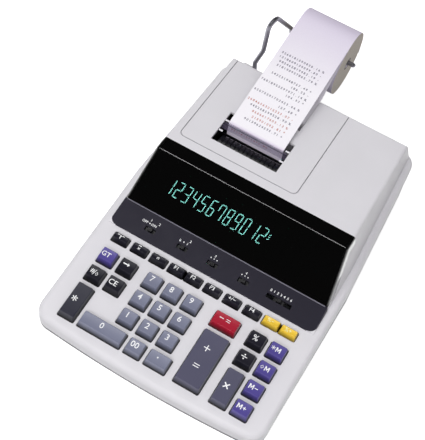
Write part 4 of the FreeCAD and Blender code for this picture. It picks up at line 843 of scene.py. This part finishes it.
def display_digits():
    vertices, faces = [], []

    def bar(x, first, last, thick):
        (u0, v0), (u1, v1) = first, last
        a = Vector((u0 * DIGIT_WIDTH, v0 * DIGIT_HEIGHT))
        b = Vector((u1 * DIGIT_WIDTH, v1 * DIGIT_HEIGHT))
        along = (b - a).normalized()
        side = Vector((-along.y, along.x)) * thick / 2
        a += along * SEGMENT_GAP
        b -= along * SEGMENT_GAP
        tip = along * thick / 2
        outline = [a, a + tip + side, b - tip + side, b, b - tip - side, a + tip - side]
        start = len(vertices)
        for depth in (0.0, DIGIT_LIFT):
            for p in outline:
                u = x + p.x + (p.y - DIGIT_HEIGHT / 2) * DIGIT_LEAN - DIGIT_WIDTH / 2
                v = DIGIT_MIDDLE + p.y - DIGIT_HEIGHT / 2
                vertices.append(lens_point(u, v, TUBE_IN - depth))
        faces.append(tuple(range(start + 11, start + 5, -1)))
        faces.append(tuple(range(start, start + 6)))
        for k in range(6):
            n = (k + 1) % 6
            faces.append((start + k, start + 6 + k, start + 6 + n, start + n))

    for index, digit in enumerate("123456789012"):
        for key in SHAPES[digit]:
            bar(FIRST_DIGIT_X + index * DIGIT_PITCH, *SEGMENTS[key], SEGMENT_WIDTH)
    beside = FIRST_DIGIT_X + 11.75 * DIGIT_PITCH
    for low, high in ((0.42, 0.5), (0.56, 0.64), (0.7, 0.78)):
        bar(beside, (0.1, low), (0.6, high), SEGMENT_WIDTH * 0.8)
    add_piece("display_digits", vertices, faces, GLOW, "case", "tube_glass")


display_digits()


# Printed lines on the paper strip

PAPER_Y = 237.2
THICK = 0.2
PRINT_HEIGHT = 2.3
PRINT_PITCH = 2.6
PRINT_RIGHT = 15.5
FRAME_TOP_Z = 70.0
TEAR_Y = PAPER_Y - 1.1
TEAR_WALL = 1.2
TEAR_TOOTH = 1.3
TOP_FALL = 6.3
TOP_RUN = 146.0


def top_z(y):
    """Height of the top of the printer housing, which falls towards the back."""
    return RIDGE_FRONT[1] - (y - RIDGE_FRONT[0]) * TOP_FALL / TOP_RUN


def run_to_roll(start):
    """The straight run of paper from a point to the top of the roll, as its end and its slope."""
    radius = ROLL_RADIUS + 0.05
    run, rise = ROLL_Y - start[0], ROLL_Z - start[1]
    far = math.hypot(run, rise)
    slope = math.atan2(rise, run) + math.asin(radius / far)
    end = (ROLL_Y - radius * math.sin(slope), ROLL_Z + radius * math.cos(slope))
    return end, slope


STRIP_START = (PAPER_Y, top_z(PAPER_Y) + WALL)
STRIP_END, STRIP_SLOPE = run_to_roll(STRIP_START)


def bend_with_holder(piece):
    """Bake the piece's placement into its mesh."""
    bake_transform(piece)


def sliced(mesh, first_y, last_y, step):
    """Cut a mesh across at even steps between two depths."""
    y = first_y
    while y < last_y:
        bmesh.ops.bisect_plane(
            mesh, geom=mesh.verts[:] + mesh.edges[:] + mesh.faces[:],
            plane_co=to_world(0, y, 0), plane_no=(0, 1, 0), dist=1e-7,
        )
        y += step


def linked_to(face):
    """All faces that hang together with one face."""
    found = {face}
    border = [face]
    while border:
        for edge in border.pop().edges:
            for other in edge.link_faces:
                if other not in found:
                    found.add(other)
                    border.append(other)
    return found


def paper_part(name, printed_side):
    """The printed strip over the roll, or else the paper that the roll supplies to the printer."""
    source = nodes["paper_tape"]
    mesh = bmesh.new()
    mesh.from_mesh(source.data)
    mesh.transform(source.matrix_world)
    bmesh.ops.remove_doubles(mesh, verts=mesh.verts[:], dist=1e-7)
    edge_y = STRIP_START[0] + THICK * 0.25
    sliced(mesh, edge_y, STRIP_END[0] + 1, 4.0)
    limit = (edge_y - ORIGIN_Y) * MM
    above = (STRIP_START[1] - 1) * MM
    bmesh.ops.split_edges(mesh, edges=[
        edge for edge in mesh.edges
        if all(abs(point.co.y - limit) < 1e-6 and point.co.z > above for point in edge.verts)
    ])
    mesh.faces.ensure_lookup_table()
    rear_face = max(mesh.faces, key=lambda face: face.calc_center_median().y)
    printed = linked_to(rear_face)
    dropped = [face for face in mesh.faces if (face in printed) != printed_side]
    bmesh.ops.delete(mesh, geom=dropped, context="FACES")
    bmesh.ops.holes_fill(mesh, edges=[edge for edge in mesh.edges if edge.is_boundary])
    data = bpy.data.meshes.new(name)
    mesh.to_mesh(data)
    mesh.free()
    data.materials.append(TAPE)
    piece = bpy.data.objects.new(name, data)
    bpy.context.scene.collection.objects.link(piece)
    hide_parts("paper_tape")
    if printed_side:
        bend_with_holder(piece)
    else:
        bend_with_holder(piece)


paper_part("printed_strip", True)
paper_part("supply_strip", False)


def strip_point(x, along, lift):
    """World place on the run of the strip from the case up to the roll."""
    out = THICK + INK_LIFT + lift
    y = STRIP_START[0] + along * math.cos(STRIP_SLOPE) - out * math.sin(STRIP_SLOPE)
    z = STRIP_START[1] + along * math.sin(STRIP_SLOPE) + out * math.cos(STRIP_SLOPE)
    return to_world(PRINTER_X + x, y, z)


def behind_bar_point(x, along, lift):
    """World place on the upright run of the strip, behind the tear bar."""
    return to_world(PRINTER_X + x, PAPER_Y - THICK - INK_LIFT - lift, FRAME_TOP_Z + along)


def number_row(chance, count, right, along, sign_mark=True):
    """Parts for one printed number with its decimal point, and its sign at the right."""
    digits = "".join(chance.choice("0123456789") for _ in range(count))
    text = digits[:-2] + "." + digits[-2:]
    parts = []
    for place, letter in enumerate(reversed(text)):
        parts.append((glyph(letter, PRINT_HEIGHT, 0.05), right - place * PRINT_PITCH, along))
    if sign_mark:
        parts.append((glyph(chance.choice("+-*%"), PRINT_HEIGHT, 0.05), right + 4.2, along))
    return parts


def printed_lines():
    chance = random.Random(7)
    rows = (
        (93.0, 15, "violet"), (88.0, 15, "violet"), (83.0, 14, "violet"), (78.0, 14, "violet"),
        (68.0, 14, "violet"), (63.0, 5, "violet"), (57.5, 16, "violet"), (52.5, 5, "violet"),
        (44.5, 16, "violet"), (38.5, 5, "violet"), (32.5, 16, "red"), (27.5, 14, "violet"),
        (22.0, 12, "red"), (16.5, 11, "red"), (11.5, 13, "violet"),
    )
    groups = {"violet": [], "red": []}
    for along, count, colour in rows:
        groups[colour] += number_row(chance, count, PRINT_RIGHT, along)
    for colour, parts in groups.items():
        vertices, faces = merged(parts)
        placed = [strip_point(u, v, w) for u, v, w in vertices]
        material = RED_INK if colour == "red" else DARK_INK
        piece = add_free("printed_" + colour, placed, faces, material)
        bend_with_holder(piece)
    vertices, faces = merged(number_row(chance, 14, 12.0, 2.6))
    placed = [behind_bar_point(u, v, w) for u, v, w in vertices]
    add_piece("printed_behind_bar", placed, faces, RED_INK, "case", "paper")


printed_lines()


# Steel edge of the tear bar, and four small white pieces at its ends that are painted highlights where
# the clear bar catches the light

TEAR_RISE = 2.0
EDGE_BESIDE = 3.75
EDGE_DEPTH = 0.35
EDGE_HEIGHT = 0.55
GLINT_NEAR = 1.0
GLINT_FAR = 5.0
GLINT_DEPTH = 1.6
GLINT_HEIGHT = 1.0
GLINT_PLACES = (("front", 227.2, 75.6), ("rear", 239.6, 76.4))


def solid_box(low, high):
    vertices = [
        to_world(x, y, z)
        for x in (low[0], high[0]) for y in (low[1], high[1]) for z in (low[2], high[2])
    ]
    faces = [(0, 1, 3, 2), (4, 6, 7, 5), (0, 4, 5, 1), (2, 3, 7, 6), (0, 2, 6, 4), (1, 5, 7, 3)]
    return vertices, faces


def bevelled(piece, width):
    """Round the edges of a small piece and apply the modifier."""
    bevel = piece.modifiers.new("edge", "BEVEL")
    bevel.width = width * MM
    bevel.segments = 3
    depsgraph = bpy.context.evaluated_depsgraph_get()
    mesh = bpy.data.meshes.new_from_object(piece.evaluated_get(depsgraph))
    piece.modifiers.clear()
    piece.data = mesh


def tear_box(name, low, high, material, rounding):
    piece = add_piece(name, *solid_box(low, high), material, "case", record_slot("tear_bar"))
    bevelled(piece, rounding)


def tear_fittings():
    front = TEAR_Y - TEAR_WALL / 2
    high = top_z(TEAR_Y) + TEAR_RISE - TEAR_TOOTH
    inner = PAPER_WIDTH / 2 + EDGE_BESIDE
    low = (PRINTER_X - inner, front - EDGE_DEPTH, high - EDGE_HEIGHT)
    tear_box("tear_edge", low, (PRINTER_X + inner, front, high), TEAR_STEEL, 0.12)
    # Four small white pieces at the ends of the bar, painted highlights where the clear bar catches the
    # light
    for name, side in (("left", -1), ("right", 1)):
        near = PRINTER_X + side * (PAPER_WIDTH / 2 + GLINT_NEAR)
        far = PRINTER_X + side * (PAPER_WIDTH / 2 + GLINT_FAR)
        for place, y, z in GLINT_PLACES:
            corner = (min(near, far), y, z)
            opposite = (max(near, far), y + GLINT_DEPTH, z + GLINT_HEIGHT)
            tear_box("tear_glint_%s_%s" % (name, place), corner, opposite, PAINTED_GLINT, 0.25)


tear_fittings()


# Painted shade: a dark line where the edge of the cover meets the case, standing for the shade in the
# gap

COVER_WIDTH = 120.0
COVER_FRONT_Y = 200.5
COVER_ROUND = 5.0
COVER_LINE_END_Y = 312.0
COVER_LINE_WIDTH = 0.4


def cover_outline(inset):
    """The cover's front corners and sides as points, moved in from its edge."""
    radius = COVER_ROUND - inset
    middle = COVER_WIDTH / 2 - COVER_ROUND
    middle_y = COVER_FRONT_Y + COVER_ROUND
    points = [(-COVER_WIDTH / 2 + inset, COVER_LINE_END_Y)]
    for side, first in ((-1, 180), (1, 270)):
        for step in range(9):
            turn = math.radians(first + step * 11.25)
            points.append((side * middle + radius * math.cos(turn), middle_y + radius * math.sin(turn)))
    points.append((COVER_WIDTH / 2 - inset, COVER_LINE_END_Y))
    return points


def cover_line():
    outline = cover_outline(0.02) + cover_outline(COVER_LINE_WIDTH)
    count = len(outline) // 2
    vertices = [to_world(PRINTER_X + x, y, top_z(y) + LINE_LIFT) for x, y in outline]
    faces = [(k, k + 1, count + k + 1, count + k) for k in range(count - 1)]
    add_piece("cover_line", vertices, faces, COVER_GAP_SHADE, "cover", record_slot("printer_cover"))


cover_line()


# Card core of the paper roll, seen as a dark ring around the wire

CORE_RADII = (4.25, 6.6)
CORE_SIDES = 40


def roll_core():
    for name, side in (("left", -1), ("right", 1)):
        x = PRINTER_X + side * (PAPER_WIDTH / 2 + CORE_LIFT)
        vertices = []
        for radius in CORE_RADII:
            for k in range(CORE_SIDES):
                turn = 2 * math.pi * k / CORE_SIDES
                y, z = ROLL_Y + radius * math.cos(turn), ROLL_Z + radius * math.sin(turn)
                vertices.append(to_world(x, y, z))
        faces = []
        for k in range(CORE_SIDES):
            n = (k + 1) % CORE_SIDES
            faces.append((k, n, CORE_SIDES + n, CORE_SIDES + k))
        add_piece("roll_core_" + name, vertices, faces, ROLL_CORE, "roll", record_slot("paper_roll"))


roll_core()


# Floor and light

FLOOR_HALF = 6.0
FLOOR_BOUNCE = 0.35
FLOOR_LIFT = 0.67
FLOOR_WHITE = 0.95
OVERHEAD = 0.025
WORLD_LIGHT = 0.36
LAMP_TARGET_Z = 0.04


def either(tree, first, second):
    """The larger of two factors."""
    node = tree.nodes.new("ShaderNodeMath")
    node.operation = "MAXIMUM"
    tree.links.new(first, node.inputs[0])
    tree.links.new(second, node.inputs[1])
    return node.outputs["Value"]


def seen_rays(tree):
    """Two factors, one for rays from the eye and one for rays by mirror or through glass."""
    path = tree.nodes.new("ShaderNodeLightPath")
    turned_rays = either(tree, path.outputs["Is Glossy Ray"], path.outputs["Is Transmission Ray"])
    return path.outputs["Is Camera Ray"], turned_rays


def between(tree, factor, low, high):
    """A number that goes from low to high with a factor; both may be sockets."""
    node = tree.nodes.new("ShaderNodeMapRange")
    tree.links.new(factor, node.inputs["Value"])
    for name, value in (("To Min", low), ("To Max", high)):
        if isinstance(value, float):
            node.inputs[name].default_value = value
        else:
            tree.links.new(value, node.inputs[name])
    return node.outputs["Result"]


def floor():
    """Pale floor: white to the eye and in reflections, darker for the light it throws back."""
    size = FLOOR_HALF
    corners = [(-size, -size, 0), (size, -size, 0), (size, size, 0), (-size, size, 0)]
    mesh = bpy.data.meshes.new("floor")
    mesh.from_pydata(corners, [], [(0, 1, 2, 3)])
    piece = bpy.data.objects.new("floor", mesh)
    bpy.context.scene.collection.objects.link(piece)
    material, tree, shader = new_material("floor_white")
    seen = either(tree, *seen_rays(tree))
    tree.links.new(between(tree, seen, FLOOR_BOUNCE, FLOOR_WHITE), shader.inputs["Base Color"])
    shader.inputs["Emission Color"].default_value = (1, 1, 1, 1)
    tree.links.new(between(tree, seen, 0.0, FLOOR_LIFT), shader.inputs["Emission Strength"])
    shader.inputs["Roughness"].default_value = 0.9
    shader.inputs["Specular IOR Level"].default_value = 0.0
    mesh.materials.append(material)


def world():
    """White to the eye. In reflections white near the horizon and dim overhead. Even as soft light."""
    data = bpy.data.worlds.new("studio")
    bpy.context.scene.world = data
    data.use_nodes = True
    tree = data.node_tree
    background = tree.nodes["Background"]
    background.inputs["Color"].default_value = (1, 1, 1, 1)
    place = tree.nodes.new("ShaderNodeTexCoord")
    parts = tree.nodes.new("ShaderNodeSeparateXYZ")
    tree.links.new(place.outputs["Generated"], parts.inputs["Vector"])
    height = tree.nodes.new("ShaderNodeMapRange")
    height.inputs["From Min"].default_value = 0.18
    height.inputs["From Max"].default_value = 0.32
    height.inputs["To Min"].default_value = 1.0
    height.inputs["To Max"].default_value = OVERHEAD
    tree.links.new(parts.outputs["Z"], height.inputs["Value"])
    by_eye, mirrored = seen_rays(tree)
    strength = between(tree, mirrored, WORLD_LIGHT, height.outputs["Result"])
    tree.links.new(between(tree, by_eye, strength, 1.0), background.inputs["Strength"])


def lamp(name, direction, distance, width, height, power, mirrored=True):
    """A soft lamp, sized in metres and watts, which may be kept out of reflections."""
    data = bpy.data.lights.new(name, "AREA")
    data.shape = "RECTANGLE"
    data.size = width
    data.size_y = height
    data.energy = power
    item = bpy.data.objects.new(name, data)
    item.visible_glossy = mirrored
    target = Vector((0, 0, LAMP_TARGET_Z))
    away = Vector(direction).normalized()
    item.location = target + away * distance
    item.rotation_euler = (-away).to_track_quat("-Z", "Y").to_euler()
    bpy.context.scene.collection.objects.link(item)


floor()
world()
lamp("key_lamp", (0.0, -0.62, 0.78), 1.75, 1.3, 1.3, 17.8, mirrored=False)
lamp("line_lamp", (-0.19, -0.20, 0.96), 1.75, 1.4, 0.3, 6.2)
lamp("side_lamp", (0.85, -0.25, 0.45), 1.8, 0.9, 0.9, 0.8, mirrored=False)
lamp("back_lamp", (-0.35, 0.75, 0.55), 1.7, 0.8, 0.8, 3.0, mirrored=False)
bpy.context.scene.view_settings.view_transform = "Standard"
